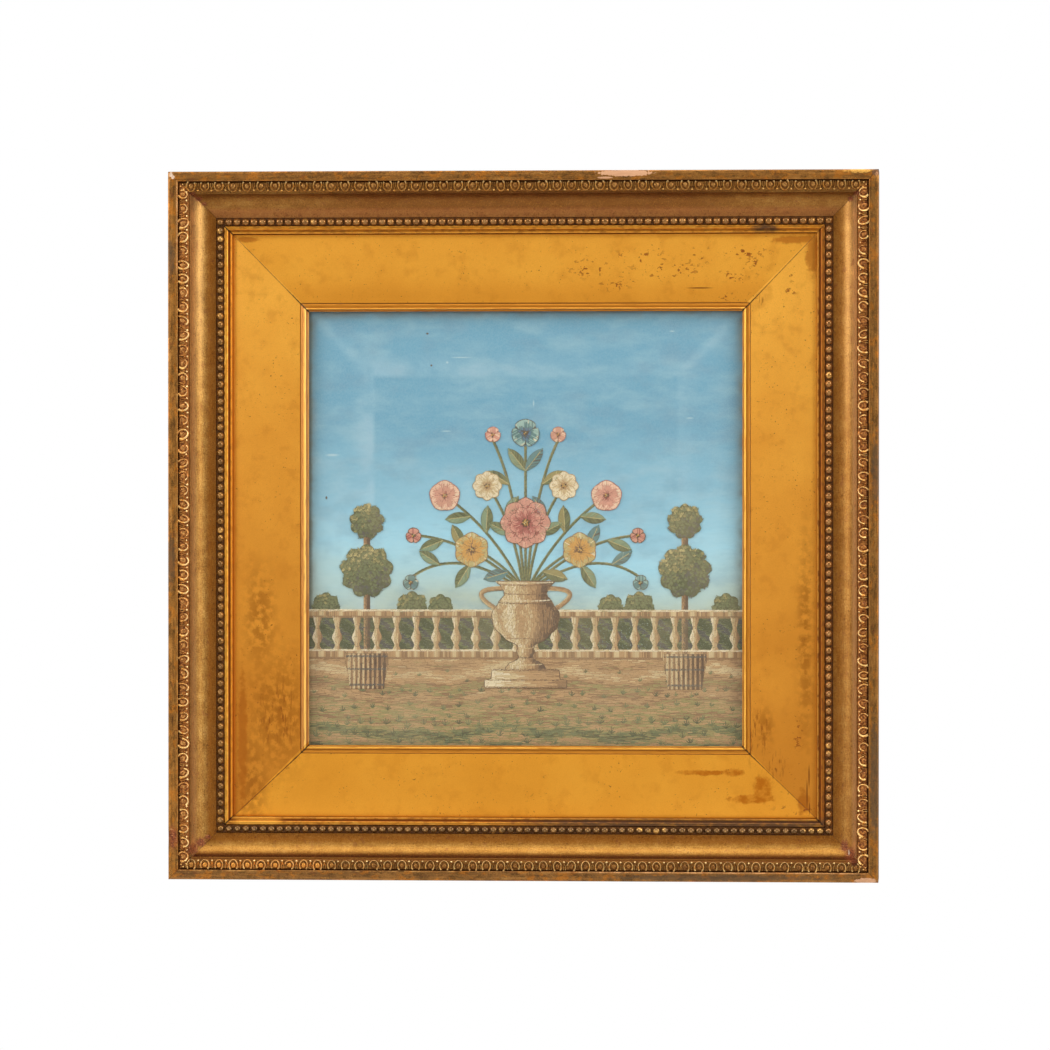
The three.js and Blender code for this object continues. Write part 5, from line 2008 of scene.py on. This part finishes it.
def flower(work, right, up, radius, petals, colour):
    """Petals worked outward from the centre, dark at the heart, each edged and with a lit side."""
    centre = np.array([right, up], float)
    threads = PETAL_THREADS[colour]
    work.bed(bloom_outline(right, up, radius, petals), RELIEF["flower"] - 0.1, threads[0])
    rings = [(0.12, 1.0, 0.0)] if radius < 15 else [(0.3, 1.0, 0.0), (0.1, 0.66, 0.5)]
    for ring, (near, far, offset) in enumerate(rings):
        width = 2 * radius * far * math.sin(math.pi / petals) * (1.04 if petals > 3 else 0.82)
        for i in range(petals):
            angle = (i + offset) / petals * 2 * math.pi
            outline = petal_outline(centre, angle, near * radius, far * radius, width)
            lean = np.array([math.cos(angle), -math.sin(angle)])

            def value(x, y):
                place = np.stack([x, y], -1) - centre
                reach = np.linalg.norm(place, axis=1) / (radius * far)
                return reach * 0.85 - 0.07 * (place @ lean) / radius

            rise = RELIEF["flower"] - 0.08 + 0.06 * ring + 0.03 * (i % 2)
            work.fill(outline, math.pi / 2 - angle, rise, threads, value, (3, 5))
            edge = outline[1:-1]
            work.along(edge, 0.45, rise + 0.03, threads[:2], steady(0.4), length=2.0, slant=0.03)
    work.knotted_disc(centre, max(1.6, radius * 0.17), RELIEF["flower"], ["umber", "gold", "straw"])


def leaf(work, stem, share, turn, length, width, side):
    """A pointed leaf in two halves of slanting satin stitch, with a pale vein."""
    path = curve_of(STEMS[stem], side, 100)
    index = round(share * 100)
    root = path[index]
    along = path[min(index + 1, 100)] - path[index - 1]
    angle = math.atan2(along[1], along[0]) + side * math.radians(turn)
    ahead = np.array([math.cos(angle), math.sin(angle)])
    left = np.array([-ahead[1], ahead[0]])
    t = np.linspace(0, 1, 15)
    half = (STALK_WIDTH + (width - STALK_WIDTH) * np.sin(math.pi * t)) / 2 * np.clip((1 - t) * 8, 0, 1)
    spine = root + ahead * (t * length)[:, None]
    greens = LEAF_GREENS[work.draw.integers(len(LEAF_GREENS))]
    whole = np.concatenate([spine - left * half[:, None], (spine + left * half[:, None])[::-1]])
    work.bed(whole, RELIEF["motif"] - 0.08, greens[0])
    for hand, lit in ((1, 0.62), (-1, 0.3)):
        edge = spine + left * (hand * half)[:, None]
        outline = np.concatenate([spine, edge[::-1]])
        work.fill(outline, angle + hand * 0.75, RELIEF["motif"] - 0.06, greens, steady(lit))
    work.along(spine[:-2], 0.5, RELIEF["motif"] + 0.02, ["straw"], steady(0.5), length=2.4)


def lit_on_left(reach, across):
    return 0.2 + 0.6 * across


def bouquet(work):
    for row in STEMS.values():
        for side in (1, -1) if row[2][0] > 0 else (1,):
            path = curve_of(row, side)
            work.bed(ribbon_outline(path, STEM_WIDTH * 0.8), RELIEF["ground"], "moss")
            greens = ["moss", "green", "olive"]
            work.along(path, STEM_WIDTH, RELIEF["ground"] + 0.05, greens, lit_on_left)
    for row in LEAVES:
        for side in (1, -1):
            leaf(work, *row, side)
    for row in mirrored(FLOWERS):
        flower(work, *row)


FLOSS = floss()
STITCHED = {
    "stitched_ground": (800, [ground]),
    "stitched_wall": (801, [wall]),
    "stitched_urn_and_trees": (802, [urn, trees]),
    "stitched_bouquet": (803, [bouquet]),
}


def embroider():
    pieces = []
    for name, (seed, motifs) in STITCHED.items():
        work = Needlework(seed)
        for motif in motifs:
            motif(work)
        pieces.append(work.piece(name))
    return pieces


silk = silk_sheet()
embroider()


# CAD nodes that stay

def dress(node, material):
    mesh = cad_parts[node].data
    mesh.materials.clear()
    mesh.materials.append(material)


for side in SIDES:
    dress(f"strainer_bar_{side}", STRAINER_WOOD)
dress("backboard", BOARD_WOOD)
dress("glass_pane", GLASS)


# Stage, lights and view

FRONT_LIGHT = 0.45
SIDE_LIGHT = 0.65
LOW_LIGHT = 0.45


def add_floor():
    low = CAD_BOUNDS[0][2] - 0.35
    bpy.ops.mesh.primitive_plane_add(size=3, location=(0, 0, low))
    floor = bpy.context.object
    floor.name = "floor"
    f = Finish("floor")
    floor.data.materials.append(f.surface(Base_Color=(0.85, 0.85, 0.84), Roughness=0.9))


def add_light(name, place, size, power):
    data = bpy.data.lights.new(name, "AREA")
    data.shape = "RECTANGLE"
    data.size, data.size_y = size
    data.energy = power
    light = bpy.data.objects.new(name, data)
    light.location = place
    aim = Vector((0, 0, FRAME_CENTRE[1] * MM))
    light.rotation_euler = (aim - Vector(place)).to_track_quat("-Z", "Y").to_euler()
    bpy.context.scene.collection.objects.link(light)


def add_world():
    """A white surround for the camera, and softer light from the sides and above for the rest."""
    world = bpy.data.worlds.new("world")
    world.use_nodes = True
    tree = world.node_tree

    def math_node(operation, a, b):
        made = tree.nodes.new("ShaderNodeMath")
        made.operation = operation
        for socket, value in zip(made.inputs, (a, b)):
            if isinstance(value, bpy.types.NodeSocket):
                tree.links.new(value, socket)
            else:
                socket.default_value = value
        return made.outputs[0]

    def eased(value, low, high, to_low, to_high):
        made = tree.nodes.new("ShaderNodeMapRange")
        made.interpolation_type = "SMOOTHSTEP"
        tree.links.new(value, made.inputs[0])
        for socket, number in zip(list(made.inputs)[1:5], (low, high, to_low, to_high)):
            socket.default_value = number
        return made.outputs[0]

    seen = tree.nodes["Background"]
    seen.inputs["Color"].default_value = (1, 1, 1, 1)
    direction = tree.nodes.new("ShaderNodeSeparateXYZ")
    tree.links.new(tree.nodes.new("ShaderNodeTexCoord").outputs["Generated"], direction.inputs[0])
    front = eased(direction.outputs["Y"], -0.98, -0.6, FRONT_LIGHT, SIDE_LIGHT)
    rising = eased(direction.outputs["Z"], -0.7, 0.1, LOW_LIGHT, 1.0)
    lighting = tree.nodes.new("ShaderNodeBackground")
    tree.links.new(math_node("MULTIPLY", front, rising), lighting.inputs["Strength"])
    path = tree.nodes.new("ShaderNodeLightPath")
    both = tree.nodes.new("ShaderNodeMixShader")
    tree.links.new(path.outputs["Is Camera Ray"], both.inputs[0])
    tree.links.new(lighting.outputs[0], both.inputs[1])
    tree.links.new(seen.outputs[0], both.inputs[2])
    tree.links.new(both.outputs[0], tree.nodes["World Output"].inputs["Surface"])
    bpy.context.scene.world = world


add_floor()
add_light("left", (-1.7, -1.0, 0.45), (0.9, 1.4), 26)
add_light("right", (1.7, -1.0, 0.45), (0.9, 1.4), 28)
add_light("above", (0, -0.9, 1.5), (1.6, 0.9), 18)
add_world()
bpy.context.scene.view_settings.view_transform = "Standard"
